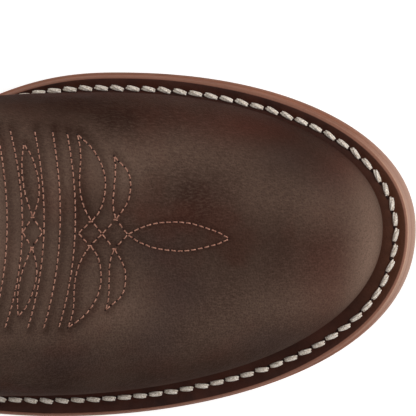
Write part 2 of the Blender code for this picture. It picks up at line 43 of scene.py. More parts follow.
# The boot's last and sole, in mm. A station runs forward from the back of the heel, y is medial, z is up.
last = {
    "length": 305.0,
    "heelHeight": 40.0,
    "toeSpring": 11.0,
    "toeSpringPower": 1.6,
    "outsole": 5.0,
    "wall": 2.2,
    "overlay": 1.2,
    "gap": 0.3,
    "seatEnd": 72.0,
    "shankMiddle": (130.0, 16.5, -0.43),  # station, height, slope
    "ball": (193.0, 227.0),  # flat tread
    "heelPower": 2.3,
    "edgeSteps": 150,  # steps along each side of the sole
    "fineSteps": 1200,  # for spacing those evenly
    # back, tip, toe lean, medial depth, lateral depth, toe power, heel lean, heel half, heel depth
    "forms": {
        "sole": (0.0, 305.0, 4.8, 96.0, 118.0, 2.15, -1.0, 34.0, 36.0),
        "feather": (5.0, 291.4, 5.8, 84.0, 103.0, 2.10, -1.0, 29.0, 32.0),
        "belly": (4.0, 292.4, 6.2, 84.0, 105.0, 2.10, -1.0, 32.5, 34.0),
    },
    "ballHalf": {"sole": (54.7, 56.3), "feather": (45.5, 44.0), "belly": (47.8, 45.4)},
    # station, then medial and lateral half widths of the sole, the feather line and the belly of the upper
    "sides": (
        (36.0, 33.0, 35.0, 28.0, 30.0, 31.5, 33.5),
        (55.0, 32.4, 35.0, 27.4, 30.2, 32.8, 34.8),
        (80.0, 29.8, 35.2, 25.0, 30.2, 34.0, 36.2),
        (100.0, 28.0, 36.6, 22.6, 31.4, 35.4, 37.8),
        (118.0, 28.6, 40.0, 22.4, 34.0, 37.6, 39.8),
        (136.0, 32.2, 45.8, 25.2, 37.8, 40.8, 42.2),
        (154.0, 39.8, 51.8, 32.0, 41.6, 44.4, 44.2),
        (172.0, 48.0, 55.2, 39.8, 43.6, 46.8, 45.2),
        (190.0, 53.2, 56.3, 44.4, 44.0, 47.7, 45.4),
        (208.0, 54.7, 56.3, 45.5, 43.7, 47.8, 45.0),
    ),
    # station, feather edge and welt top above the outsole
    "weltTaper": (
        (0.0, 0.0, 0.0), (64.0, 0.0, 0.0), (79.0, 1.4, 0.7),
        (104.0, 3.8, 3.2), (116.0, 3.8, 3.5), (305.0, 3.8, 3.5),
    ),
    "ringNames": ("front", "frontZ", "back", "backZ", "medial", "lateral", "tuck", "oval", "dip", "crown"),
    "rings": (
        (291.4, 18.0, 5.0, 45.3, 47.8, 45.4, 1.00, 0.00, 1.00, 0.0),
        (292.2, 23.5, 4.2, 51.8, 47.8, 45.4, 0.52, 0.00, 1.00, 0.0),
        (291.7, 29.5, 3.6, 58.5, 47.8, 45.4, 0.20, 0.00, 0.98, 0.0),
        (288.8, 36.0, 3.4, 65.0, 47.5, 45.2, 0.04, 0.02, 0.93, 0.0),
        (283.4, 41.2, 3.8, 71.5, 46.9, 44.6, 0.00, 0.06, 0.86, 0.0),
        (273.4, 45.6, 4.8, 78.0, 45.9, 43.8, 0.00, 0.12, 0.77, 0.0),
        (258.8, 49.8, 6.4, 84.5, 44.7, 43.0, 0.00, 0.20, 0.66, 0.0),
        (242.0, 54.2, 8.6, 91.0, 43.5, 42.2, 0.00, 0.30, 0.54, 0.0),
        (224.4, 59.6, 11.2, 97.5, 42.4, 41.4, 0.00, 0.42, 0.42, 0.0),
        (206.6, 66.6, 13.8, 104.0, 41.4, 40.6, 0.00, 0.55, 0.30, 0.0),
        (189.6, 76.0, 16.0, 111.0, 40.4, 39.8, 0.00, 0.68, 0.19, 0.0),
        (174.6, 88.4, 17.6, 119.0, 39.6, 39.2, 0.00, 0.80, 0.10, 0.0),
        (162.6, 104.6, 18.2, 129.0, 39.0, 39.0, 0.00, 0.90, 0.04, 0.0),
        (154.4, 126.0, 17.4, 143.0, 39.4, 39.4, 0.00, 0.97, 0.01, 0.0),
        (150.4, 155.0, 14.8, 165.0, 41.0, 41.0, 0.00, 1.00, 0.00, 1.0),
        (149.0, 194.0, 11.4, 198.0, 43.4, 43.4, 0.00, 1.00, 0.00, 6.0),
        (149.4, 238.0, 8.8, 240.0, 45.4, 45.4, 0.00, 1.00, 0.00, 17.0),
        (151.2, 282.0, 7.6, 288.0, 46.6, 46.6, 0.00, 1.00, 0.00, 38.0),
    ),
    "collarRow": 17.0,
    "ovalPower": 2.15,
    "crownPower": 1.3,
    # station, lean of the boot's own axis
    "centre": (
        (0.0, -1.0), (60.0, 0.5), (120.0, 3.6), (165.0, 5.6), (215.0, 5.4), (260.0, 5.4), (305.0, 6.2),
    ),
    # seam between vamp and counter: station at the foot, at the collar, half gap, row where it starts to lean
    "seam": (90.0, 78.0, 1.8, 5.0),
}

# Camera, light and floor: the photo looks down on the toe, a little from the medial side
view = {
    "aim": (86.1, 11.5, 8.0),  # mm, middle of the picture at welt height
    "distance": 1200.0,
    "roll": 3.5,  # degrees off the vertical, towards the medial side
    "frameWidth": 133.1,  # mm of boot across the picture
    "sensor": 36.0,
    "clip": (0.05, 100.0),  # m
}
studio = {
    "floorHex": "#b9b8b6",
    "floorHalf": 30.0,  # m
    "floorRoughness": 0.9,
    "floorGlow": 0.76,  # lit through like a light table, so the boot casts no hard shadow
    "glowHex": "#ffffff",
    "worldHex": "#ffffff",
    "worldStrength": 0.22,
    "lampAim": (0.06, 0.0, 0.03),  # m, about the ball of the foot
    # name, place in m, size in m, watts
    "softboxes": (
        ("toeSoftbox", (1.05, 0.10, 0.70), (0.9, 0.7), 8.5),
        ("overheadSoftbox", (-0.25, 0.35, 1.9), (1.4, 1.4), 13.0),
        ("medialSoftbox", (0.20, 1.20, 0.90), (0.9, 0.7), 0.6),
    ),
}


def toLinear(hexColour):
    values = [int(hexColour[i:i + 2], 16) / 255 for i in (1, 3, 5)]
    return tuple(v / 12.92 if v <= 0.04045 else ((v + 0.055) / 1.055) ** 2.4 for v in values)


def addNode(tree, kind, settings=None, links=None):
    # a setting is a node property or else a socket's value, with colours as hex; a link is (node, output)
    made = tree.nodes.new(kind)
    for key, value in (settings or {}).items():
        if isinstance(key, str) and hasattr(made, key):
            setattr(made, key, value)
        elif isinstance(value, str) and value.startswith("#"):
            made.inputs[key].default_value = (*toLinear(value), 1.0)
        else:
            made.inputs[key].default_value = value
    for key, (node, output) in (links or {}).items():
        tree.links.new(node.outputs[output], made.inputs[key])
    return made


def newMaterial(name):
    made = bpy.data.materials.new(name)
    made.use_nodes = True
    made.node_tree.nodes.clear()
    return made, made.node_tree


def setUpStudio():
    scene = bpy.context.scene
    scene.view_settings.view_transform = "Standard"
    camera = bpy.data.objects.new("photoCamera", bpy.data.cameras.new("photoCamera"))
    scene.collection.objects.link(camera)
    camera.data.sensor_width = view["sensor"]
    camera.data.lens = view["sensor"] * view["distance"] / view["frameWidth"]
    camera.data.clip_start, camera.data.clip_end = view["clip"]
    roll = math.radians(view["roll"])
    back = Vector((0.0, math.sin(roll), math.cos(roll)))
    right = Vector((1.0, 0.0, 0.0))
    turn = Matrix((right, back.cross(right), back)).transposed().to_4x4()
    place = Vector(view["aim"]) * mm + back * view["distance"] * mm
    camera.matrix_world = Matrix.Translation(place) @ turn
    scene.camera = camera
    for name, place, size, watts in studio["softboxes"]:
        data = bpy.data.lights.new(name, "AREA")
        data.shape = "RECTANGLE"
        data.size, data.size_y = size
        data.energy = watts
        lamp = bpy.data.objects.new(name, data)
        lamp.visible_camera = False
        lamp.location = place
        away = Vector(studio["lampAim"]) - Vector(place)
        lamp.rotation_euler = away.to_track_quat("-Z", "Y").to_euler()
        scene.collection.objects.link(lamp)
    world = bpy.data.worlds.new("studioWorld")
    world.use_nodes = True
    scene.world = world
    sky = world.node_tree.nodes["Background"]
    sky.inputs["Color"].default_value = (*toLinear(studio["worldHex"]), 1.0)
    sky.inputs["Strength"].default_value = studio["worldStrength"]
    half = studio["floorHalf"]
    mesh = bpy.data.meshes.new("studioFloor")
    corners = [(-half, -half, 0), (half, -half, 0), (half, half, 0), (-half, half, 0)]
    mesh.from_pydata(corners, [], [(0, 1, 2, 3)])
    floor = bpy.data.objects.new("studioFloor", mesh)
    scene.collection.objects.link(floor)
    material, tree = newMaterial("paleFloor")
    shader = addNode(tree, "ShaderNodeBsdfPrincipled", {
        "Base Color": studio["floorHex"],
        "Roughness": studio["floorRoughness"],
        "Emission Color": studio["glowHex"],
        "Emission Strength": studio["floorGlow"],
    })
    addNode(tree, "ShaderNodeOutputMaterial", links={"Surface": (shader, "BSDF")})
    mesh.materials.append(material)
    print("studio set up")


# Shape of the boot

def spline(xs, ys, at):
    # natural cubic through the points, read at an array of places
    xs = np.asarray(xs, float)
    ys = np.asarray(ys, float)
    at = np.clip(np.asarray(at, float), xs[0], xs[-1])
    span = np.diff(xs)
    rise = np.diff(ys) / span
    count = len(xs)
    matrix = np.eye(count)
    right = np.zeros(count)
    for i in range(1, count - 1):
        matrix[i, i - 1:i + 2] = span[i - 1], 2 * (span[i - 1] + span[i]), span[i]
        right[i] = 6 * (rise[i] - rise[i - 1])
    bend = np.linalg.solve(matrix, right)
    i = np.clip(np.searchsorted(xs, at, side="right") - 1, 0, count - 2)
    a, b, h = xs[i + 1] - at, at - xs[i], span[i]
    return (
        (bend[i] * a**3 + bend[i + 1] * b**3) / (6 * h)
        + (ys[i] / h - bend[i] * h / 6) * a
        + (ys[i + 1] / h - bend[i + 1] * h / 6) * b
    )


def column(table, index):
    return [row[index] for row in table]


def lengthAlong(line):
    return np.concatenate(([0.0], np.cumsum(np.linalg.norm(np.diff(line, axis=0), axis=1))))


def unit(vectors):
    return vectors / np.linalg.norm(vectors, axis=-1)[..., None]


def arc(share, power):
    return np.maximum(0.0, 1 - np.clip(share, 0, 1) ** power) ** (1 / power)


def outline(form, station, side):
    # y of a plan outline; side is 1 medial, -1 lateral
    back, tip, toeLean, *depths, toePower, heelLean, heelHalf, heelDepth = last["forms"][form]
    which = 0 if side > 0 else 1
    station = np.asarray(station, float)
    depth = depths[which]
    ball = last["ballHalf"][form][which]
    toe = toeLean + side * (ball - side * toeLean) * arc((station - tip + depth) / depth, toePower)
    heel = heelLean + side * heelHalf * arc((back + heelDepth - station) / heelDepth, last["heelPower"])
    index = 1 + 2 * list(last["forms"]).index(form) + which
    rows = [(row[0], row[index]) for row in last["sides"] if row[0] < tip - depth] + [(tip - depth, ball)]
    middle = np.where(station > tip - depth, toe, side * spline(column(rows, 0), column(rows, 1), station))
    return np.where(station < back + heelDepth, heel, middle)


def hermite(low, high, at):
    span = high[0] - low[0]
    t = np.clip((at - low[0]) / span, 0, 1)
    return (
        (2 * t**3 - 3 * t**2 + 1) * low[1]
        + (t**3 - 2 * t**2 + t) * span * low[2]
        + (3 * t**2 - 2 * t**3) * high[1]
        + (t**3 - t**2) * span * high[2]
    )


def soleBottom(station):
    station = np.asarray(station, float)
    start, end = last["ball"]
    shank = last["shankMiddle"]
    rear = hermite((last["seatEnd"], last["heelHeight"], 0.0), shank, station)
    front = hermite(shank, (start, 0.0, 0.0), station)
    spring = np.clip((station - end) / (last["length"] - end), 0, 2)
    return np.where(station < shank[0], rear, front) + last["toeSpring"] * spring ** last["toeSpringPower"]


def soleTop(station):
    return soleBottom(station) + last["outsole"]


def weltTaper(station, index):
    return np.interp(station, column(last["weltTaper"], 0), column(last["weltTaper"], index))


def boardLevel(station):
    # where welt and insole lie on the outsole
    return soleTop(station) + last["gap"]


def featherHeight(station):
    return boardLevel(station) + weltTaper(station, 1)


def weltTop(station):
    return boardLevel(station) + weltTaper(station, 2)


def planLoop(form):
    # heel to toe along the medial side, then back along the lateral side, evenly along the edge
    back, tip = last["forms"][form][:2]
    steps = last["edgeSteps"]
    fine = (1 - np.cos(np.pi * np.linspace(0, 1, last["fineSteps"] + 1))) / 2
    edge = np.column_stack((last["length"] * fine, outline("sole", last["length"] * fine, 1)))
    length = lengthAlong(edge)
    stations = back + (tip - back) * np.interp(length[-1] * np.arange(steps + 1) / steps, length, fine)
    medial = np.column_stack((stations, outline(form, stations, 1)))
    lateral = np.column_stack((stations, outline(form, stations, -1)))
    return np.vstack((medial, lateral[-2:0:-1]))


soleEdge = planLoop("sole")


def inset(loop, distance):
    along = np.roll(loop, -1, axis=0) - np.roll(loop, 1, axis=0)
    inward = unit(np.column_stack((along[:, 1], -along[:, 0])))
    return loop + inward * np.broadcast_to(distance, len(loop))[:, None]


def lifted(loop, height):
    return np.column_stack((loop, height(loop[:, 0])))


def soleLevel(loop, height):
    # like lifted, but square to the sole: towards the sprung toe the edge leans back
    raised = lifted(loop, height)
    station = loop[:, 0]
    climb = soleBottom(station + 0.5) - soleBottom(station - 0.5)  # per mm
    slope = np.where(station > last["ball"][1], climb, 0.0)
    raised[:, 0] -= slope * (raised[:, 2] - soleBottom(station))
    return raised


def centre(station):
    return spline(column(last["centre"], 0), column(last["centre"], 1), station)


def ringValues(row):
    rows = np.arange(len(last["rings"]))
    names = enumerate(last["ringNames"])
    return {name: spline(rows, column(last["rings"], i), row) for i, name in names}


def halfShape(form, t, side):
    back, tip = last["forms"][form][:2]
    station = back + (tip - back) * t
    return np.abs(outline(form, station, side) - centre(station))


def baseSurface(u, row):
    # outer face of the upper: u runs round from the back over the medial side, row climbs the ring table
    u = np.asarray(u, float)
    ring = ringValues(np.asarray(row, float))
    t = (1 - np.cos(2 * np.pi * u)) / 2
    medial = np.sin(2 * np.pi * u) >= 0
    station = ring["back"] + (ring["front"] - ring["back"]) * t
    oval = arc(np.abs(2 * t - 1), last["ovalPower"])
    half = np.zeros_like(station)
    for side, name, mask in ((1, "medial", medial), (-1, "lateral", ~medial)):
        belly = halfShape("belly", t, side)
        widest = last["ballHalf"]["belly"][0 if side > 0 else 1]
        foot = (belly + (halfShape("feather", t, side) - belly) * ring["tuck"]) * ring[name] / widest
        half = np.where(mask, side * (foot + (oval * ring[name] - foot) * ring["oval"]), half)
    first = dict(zip(last["ringNames"], last["rings"][0]))
    footStation = first["back"] + (first["front"] - first["back"]) * t
    bend = featherHeight(footStation) - (first["backZ"] + (first["frontZ"] - first["backZ"]) * t)
    height = ring["backZ"] + (ring["frontZ"] - ring["backZ"]) * t + ring["dip"] * bend
    height = height + ring["crown"] * np.abs(np.sin(2 * np.pi * u)) ** last["crownPower"]
    return np.stack((station, centre(station) + half, height), axis=-1)


def surface(u, row, offset=0.0):
    # face parallel to the upper's outer face, outwards positive
    u, row, offset = np.broadcast_arrays(*(np.asarray(value, float) for value in (u, row, offset)))
    stepU, stepRow = 0.004, 0.04  # small moves that give the slopes
    top = last["collarRow"]
    du = baseSurface(u + stepU, row) - baseSurface(u - stepU, row)
    dv = baseSurface(u, np.minimum(row + stepRow, top)) - baseSurface(u, np.maximum(row - stepRow, 0))
    normal = unit(np.cross(dv, du))
    normal[..., 2] *= np.clip(row, 0, 1)  # level at the foot
    moved = baseSurface(u, row) + unit(normal) * offset[..., None]
    foot = np.where(row <= 0, 1, 0)
    moved[..., 2] += foot * (featherHeight(moved[..., 0]) - moved[..., 2])
    return moved


def columnAt(station, row, side):
    ring = ringValues(row)
    share = np.clip((station - ring["back"]) / (ring["front"] - ring["back"]), 0, 1)
    turn = np.arccos(1 - 2 * share) / (2 * np.pi)
    return turn if side > 0 else 1 - turn


# Making pieces

def toFrame(points):
    # stations in mm to metres about the middle of the boot
    return ((np.asarray(points, float).reshape(-1, 3) - (last["length"] / 2, 0.0, 0.0)) * mm).tolist()


def closedMesh(name, points, faces):
    mesh = bpy.data.meshes.new(name)
    mesh.from_pydata(points, [], faces)
    body = bmesh.new()
    body.from_mesh(mesh)
    bmesh.ops.recalc_face_normals(body, faces=body.faces)
    body.to_mesh(mesh)
    body.free()
    mesh.shade_smooth()
    return mesh


def addObject(name, mesh):
    made = bpy.data.objects.new(name, mesh)
    bpy.context.scene.collection.objects.link(made)
    return made


def addPiece(name, node, materials, points, faces, faceMaterial=None, attributes=None, sharp=40.0):
    # one closed body in mm points, riding the boot in place of its plain node
    mesh = closedMesh(name, toFrame(points), faces)
    for material in materials:
        mesh.materials.append(material)
    if faceMaterial is not None:
        mesh.polygons.foreach_set("material_index", np.asarray(faceMaterial, np.int32))
    for key, values in (attributes or {}).items():
        values = np.asarray(values, np.float32).ravel()
        mesh.attributes.new(key, "FLOAT", "POINT").data.foreach_set("value", values)
    mesh.set_sharp_from_angle(angle=math.radians(sharp))
    made = addObject(name, mesh)
    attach(made, "root")
    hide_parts(node)


def wrapFaces(count, size, closed):
    # rings of the same size joined in a row, the last one to the first or each end capped
    i, j = np.meshgrid(np.arange(count if closed else count - 1), np.arange(size), indexing="ij")
    n, k = (i + 1) % count, (j + 1) % size
    quads = np.stack((i * size + j, n * size + j, n * size + k, i * size + k), axis=-1)
    faces = quads.reshape(-1, 4).tolist()
    if not closed:
        faces += [list(range(size)), [(count - 1) * size + j for j in range(size)]]
    return faces


def gridFaces(rows, cols):
    i, j = np.meshgrid(np.arange(rows - 1), np.arange(cols - 1), indexing="ij")
    start = i * cols + j
    return np.stack((start, start + cols, start + cols + 1, start + 1), axis=-1).reshape(-1, 4)


def slabFaces(rows, cols):
    # an inner and an outer grid closed round the rim
    half = rows * cols
    grid = gridFaces(rows, cols)
    rim = [i * cols for i in range(rows)] + [(rows - 1) * cols + j for j in range(1, cols)]
    rim += [i * cols + cols - 1 for i in range(rows - 2, -1, -1)] + list(range(cols - 2, 0, -1))
    sides = [[a, b, half + b, half + a] for a, b in zip(rim, rim[1:] + rim[:1])]
    return grid.tolist() + (half + grid[:, ::-1]).tolist() + sides


def stackFaces(levels, count):
    # plan loops stacked up, closed below and above by strips from side to side
    faces = wrapFaces(levels, count, False)[:-2]
    for start in (0, (levels - 1) * count):
        for i in range((count + 1) // 2):
            corners = list(dict.fromkeys([i, i + 1, (count - i - 1) % count, (count - i) % count]))
            if len(corners) > 2:
                faces.append([start + c for c in corners])
    return faces


# Materials

# What each leather has unless its own list says otherwise. Tones are dark, light and warm, sizes in mm are
# those of clouds, patches and grain, and relief is the grain's depth in mm and its strength. Grain, pores
# and fibres are drawn coarser than a hide's own, so that they show.
hide = {
    "stretch": (1.0, 1.0, 1.0),
    "warmth": 1.0,  # how far the warm patches show
    "pores": 0.2,  # how dark the hollows of the grain are
    "fine": 0.45,  # size and strength of the pores beside the grain's own
    "fineShare": 0.6,
    "streak": 1.2,  # fibres: size, turn and how they are drawn out
    "lie": (0.0, 0.0, 0.0),
    "drawn": (0.3, 1.0, 1.0),
    "streaks": 0.0,  # pale fibres
    "fleck": 0.0,  # fibres a little lighter and darker than whatever tone they lie in
    "satin": 0.3,  # patches of gloss beside the clouds
    "attributes": (),  # tones painted from the mesh, some of them painted light and shade: the mesh's attribute and its colour
}


def leather(look):
    # two clouded tones with fibres, warm patches, tones painted from the mesh (some of them painted light and
    # shade) and pores, grain in the bump and uneven satin
    look = {**hide, **look}
    dark, light, warm = look["tones"]
    cloud, patch, grainSize = look["sizes"]
    depth, strength = look["relief"]
    material, tree = newMaterial(look["name"])
    place = addNode(tree, "ShaderNodeTexCoord")
    spread = addNode(tree, "ShaderNodeMapping", {"Scale": look["stretch"]}, {"Vector": (place, "Object")})
    fibreLie = {"Rotation": look["lie"], "Scale": look["drawn"]}
    drawn = addNode(tree, "ShaderNodeMapping", fibreLie, {"Vector": (place, "Object")})
    noises = {}
    # name, size in mm, detail, roughness, lie
    for name, size, detail, rough, lie in (
        ("clouds", cloud, 4.0, 0.55, spread),
        ("patches", patch, 3.0, 0.55, spread),
        ("fibres", look["streak"], 4.0, 0.65, drawn),
        ("fine", grainSize * look["fine"], 3.0, 0.55, spread),
        ("satin", cloud * look["satin"], 4.0, 0.55, spread),
    ):
        settings = {"Scale": 1 / (size * mm), "Detail": detail, "Roughness": rough}
        noises[name] = addNode(tree, "ShaderNodeTexNoise", settings, {"Vector": (lie, "Vector")})
    cells = {"Scale": 1 / (grainSize * mm)}
    grain = addNode(tree, "ShaderNodeTexVoronoi", cells, {"Vector": (spread, "Vector")})
    weighed = {"operation": "MULTIPLY_ADD", 1: look["fineShare"]}
    raised = addNode(tree, "ShaderNodeMath", weighed, {0: (noises["fine"], 0), 2: (grain, "Distance")})
    noises["raised"] = raised
    shares = {}
    # name, noise, the part of it that counts, what that becomes
    for name, noise, (low, high), (least, most) in (
        ("clouds", "clouds", (0.28, 0.72), (0.0, 1.0)),
        ("streaks", "fibres", (0.46, 0.68), (0.0, look["streaks"])),
        ("warmth", "patches", (0.48, 0.72), (0.0, look["warmth"])),
        ("flecks", "fibres", (0.3, 0.7), (0.5 - look["fleck"], 0.5 + look["fleck"])),
        ("pores", "raised", (0.75, 0.25), (0.0, look["pores"])),
        ("gloss", "satin", (0.3, 0.7), look["gloss"]),
    ):
        settings = {"From Min": low, "From Max": high, "To Min": least, "To Max": most}
        shares[name] = addNode(tree, "ShaderNodeMapRange", settings, {"Value": (noises[noise], 0)})
    # tones laid over each other, each with what it adds and where
    layers = [
        ({6: dark, 7: light}, {"Factor": (shares["clouds"], 0)}),
        ({7: light}, {"Factor": (shares["streaks"], 0)}),
        ({7: warm}, {"Factor": (shares["warmth"], 0)}),
    ]
    for attribute, tone in look["attributes"]:
        painted = addNode(tree, "ShaderNodeAttribute", {"attribute_name": attribute})
        layers.append(({7: tone}, {"Factor": (painted, "Fac")}))
    layers.append(({"blend_type": "OVERLAY", 0: 1.0}, {7: (shares["flecks"], 0)}))
    layers.append(({7: dark}, {"Factor": (shares["pores"], 0)}))
    under = {}
    for settings, links in layers:
        colour = addNode(tree, "ShaderNodeMix", {"data_type": "RGBA", **settings}, {**links, **under})
        under = {6: (colour, 2)}
    relief = {"Strength": strength, "Distance": depth * mm}
    bump = addNode(tree, "ShaderNodeBump", relief, {"Height": (raised, 0)})
    surfaceLinks = {"Base Color": (colour, 2), "Roughness": (shares["gloss"], 0), "Normal": (bump, 0)}
    finish = {"Specular IOR Level": look["specular"]}
    shader = addNode(tree, "ShaderNodeBsdfPrincipled", finish, surfaceLinks)
    addNode(tree, "ShaderNodeOutputMaterial", links={"Surface": (shader, "BSDF")})
    return material


# What each thread has: the part of its noise that counts, and its relief as a share of the fibre. Fibres are
# drawn coarser than real ones, so that they show.
spun = {"detail": 2.0, "counts": (0.35, 0.65), "strength": 0.5, "relief": 0.3, "specular": 0.25}


def thread(look):
    # spun thread: dull, its fibres lighter and darker, with the ply lines in the shape itself
    material, tree = newMaterial(look["name"])
    place = addNode(tree, "ShaderNodeTexCoord")
    settings = {"Scale": 1 / (look["fibre"] * mm), "Detail": spun["detail"]}
    fibre = addNode(tree, "ShaderNodeTexNoise", settings, {"Vector": (place, "Object")})
    low, high = spun["counts"]
    share = addNode(tree, "ShaderNodeMapRange", {"From Min": low, "From Max": high}, {"Value": (fibre, 0)})
    tones = {"data_type": "RGBA", 6: look["dark"], 7: look["light"]}
    colour = addNode(tree, "ShaderNodeMix", tones, {"Factor": (share, 0)})
    relief = {"Strength": spun["strength"], "Distance": look["fibre"] * spun["relief"] * mm}
    bump = addNode(tree, "ShaderNodeBump", relief, {"Height": (fibre, 0)})
    finish = {"Roughness": look["roughness"], "Specular IOR Level": spun["specular"]}
    links = {"Base Color": (colour, 2), "Normal": (bump, 0)}
    shader = addNode(tree, "ShaderNodeBsdfPrincipled", finish, links)
    addNode(tree, "ShaderNodeOutputMaterial", links={"Surface": (shader, "BSDF")})
    return material


setUpStudio()

# Oiled brown cowhide: dull cool brown with reddish patches, paler over the toe where it is pulled, with a
# painted highlight there
cowhide = {
    "name": "oiledCowhide", "tones": ("#32211b", "#514037", "#4c2c23"), "sizes": (30.0, 20.0, 0.7),
    "relief": (0.22, 0.8), "warmth": 0.55, "pores": 0.5, "gloss": (0.56, 0.70), "specular": 0.004,
    "streak": 0.55, "streaks": 0.8, "fleck": 0.08, "lie": (0.0, 0.0, 0.1),
    "attributes": (
        # darker where dressing lies, with painted shade on the flanks and low sides; ruddy and cooled
        # patches; paler where pulled, with a painted highlight on the toe and ridges; painted shade along the
        # sewn lines
        ("oiledAndShade", "#25120b"), ("ruddy", "#573027"), ("cooled", "#41332f"),
        ("pulledAndHighlight", "#776053"), ("sewn", "#2a1812"),
    ),
}
brownLeather = leather(cowhide)
# The shaft's hide is less worked and keeps more of its finish, so it has a soft shine
shaftHide = leather({**cowhide, "name": "waxedShaftCowhide", "gloss": (0.46, 0.60), "specular": 0.08})
# Pale pigskin lining, dry and soft
liningLeather = leather({
    "name": "pigskinLining", "tones": ("#8d6b4c", "#a98561", "#96704f"), "sizes": (20.0, 30.0, 1.4),
    "relief": (0.15, 0.5), "gloss": (0.65, 0.8), "specular": 0.3,
})
# Welt leather: stained dark on top, left tan on the trimmed edge
weltLeather = leather({
    "name": "stainedWelt", "tones": ("#2a130c", "#44241a", "#3d1b10"), "sizes": (8.0, 11.0, 0.8),
    "relief": (0.10, 0.6), "gloss": (0.48, 0.62), "specular": 0.13,
    # a painted highlight near the toe, the tan of the bevel, and a painted highlight along the bevel's corner
    "attributes": (("toeHighlight", "#54301f"), ("bevelled", "#895d4c"), ("paintedHighlight", "#c29a82")),
})
# Veg-tanned sole: tan, with a painted highlight on its edge near the toe
soleLeather = leather({
    "name": "burnishedSole", "tones": ("#784d3b", "#99654f", "#885440"), "sizes": (14.0, 22.0, 0.7),
    "relief": (0.08, 0.5), "gloss": (0.5, 0.62), "specular": 0.02, "stretch": (1.0, 1.0, 2.5),
    "attributes": (("toeHighlight", "#a98777"),),
})
# Stacked heel leather: fibres lie flat, so the edge is streaked along each lift
heelLeather = leather({
    "name": "stackedHeelLeather", "tones": ("#4a2a1e", "#6d4331", "#593323"), "sizes": (12.0, 15.0, 0.9),
    "relief": (0.12, 0.6), "gloss": (0.32, 0.45), "specular": 0.45, "stretch": (1.0, 1.0, 6.0),
})
# Rubber top lift: black, matt, slightly chalky
topRubber = leather({
    "name": "heelRubber", "tones": ("#141312", "#211f1e", "#1b1917"), "sizes": (10.0, 16.0, 0.6),
    "relief": (0.08, 0.5), "gloss": (0.6, 0.75), "specular": 0.4,
})
# Leather insole board: pale, smooth and dry
insoleLeather = leather({
    "name": "insoleLeather", "tones": ("#8a6a4a", "#a9865f", "#957150"), "sizes": (18.0, 24.0, 1.0),
    "relief": (0.1, 0.4), "gloss": (0.55, 0.7), "specular": 0.3,
})
# Waxed linen thread: thick, pale and dull, a little grey between its fibres
creamThread = thread({
    "name": "waxedCreamThread", "dark": "#cab9a6", "light": "#fff5ea", "fibre": 0.5, "roughness": 0.75,
})
# Fine copper-brown thread: paler than the leather, with a faint sheen
copperThread = thread({
    "name": "copperThread", "dark": "#7d4b3b", "light": "#cf9c85", "fibre": 0.3, "roughness": 0.6,
})
# Painted shade for the inside of a needle hole: darker than the leather round it
holeShade = thread({
    "name": "needleHole", "dark": "#1a0906", "light": "#2a120d", "fibre": 0.5, "roughness": 0.9,
})
print("materials made")

# Toe stitching, in mm from the knot behind the long leaf: first forward along the toe, then out to each side
toeMotif = {
    "knot": (214.1, 6.8),  # station and y
    "turn": -3.6,  # degrees
    # where each bowed row crosses the axis, its bow per mm squared, its lean, its half length
    "rows": (
        (-15.9, 0.0045, -0.020, 29.5), (-20.4, 0.0044, -0.018, 29.9), (-25.1, 0.0048, -0.029, 29.8),
        (-31.4, 0.0056, -0.039, 29.7), (-35.8, 0.0050, -0.041, 29.9),
    ),
    "lean": {"braid": -0.033, "bigPetal": -0.015, "smallPetal": -0.008},
    "strands": {
        "leaf": (
            (0.0, 0.0), (2.0, 1.3), (5.2, 2.8), (9.0, 3.9), (12.7, 4.3), (16.4, 4.4),
            (19.7, 4.0), (23.3, 3.1), (26.9, 2.0), (29.5, 0.9), (30.9, 0.0),
        ),
        "smallPetalBack": (
            (-3.9, 4.5), (-4.6, 6.8), (-5.0, 9.0), (-5.0, 12.0), (-4.9, 16.0), (-5.0, 21.0), (-5.6, 23.5),
        ),
        "smallPetalFront": (
            (-3.9, 4.5), (-2.5, 6.5), (-1.2, 8.7), (-0.2, 11.3), (0.0, 13.8),
            (-0.2, 16.7), (-1.2, 19.2), (-2.8, 20.9), (-5.6, 23.5),
        ),
        "bigPetalBack": (
            (-11.2, 3.8), (-12.8, 6.3), (-14.3, 9.8), (-15.2, 14.0),
            (-15.4, 17.5), (-15.4, 22.3), (-15.9, 26.0), (-16.9, 29.3),
        ),
        "bigPetalFront": (
            (-11.2, 3.8), (-9.9, 5.2), (-8.3, 8.3), (-7.6, 12.0), (-7.6, 16.0),
            (-8.8, 20.2), (-10.8, 23.8), (-13.6, 26.8), (-16.9, 29.3),
        ),
        "frontCross": ((0.0, 0.0), (-3.9, 4.5), (-7.8, 0.0)),
        "backCross": ((-7.8, 0.0), (-11.2, 3.8), (-14.9, 0.0)),
        "braidBack": (
            (-28.5, 4.6), (-29.9, 8.2), (-31.4, 13.0), (-32.2, 17.5), (-32.4, 22.3), (-32.2, 25.8),
        ),
        "braidFront": (
            (-28.5, 4.6), (-27.3, 8.5), (-26.9, 12.5), (-27.5, 16.5),
            (-28.6, 20.0), (-30.0, 23.0), (-32.2, 25.8),
        ),
        "braidCross": ((-25.5, 0.0), (-28.5, 4.6), (-31.3, 0.0)),
    },
    "straight": ("frontCross", "backCross", "braidCross"),
    "rowPoints": 60,
    "crossPoints": 8,
    "spacing": 0.8,  # mm between the points of a curved strand
}

# The sewn lines draw the leather down, with painted shade along them and a painted highlight where the
# leather stands up between them
quilt = {
    # tone is the strength of the painted shade along the lines, puff that of the painted highlight between
    # them
    "depth": 0.35, "reach": 1.0, "tone": 0.40,
    "puffReach": 5.0, "puff": 0.30,
    "puffEnd": (204.0, 216.0),  # stations where the painted highlight fades out
    "margin": 15.0,  # mm round the lines that are looked at, some points at a time
    "batch": 2000,
}


def smoothLine(points, spacing):
    # curve through given points, read at an even spacing
    points = np.asarray(points, float)
    at = lengthAlong(points)
    fine = np.linspace(0, at[-1], max(3, int(at[-1] / spacing)))
    return np.column_stack([spline(at, points[:, i], fine) for i in range(points.shape[1])])


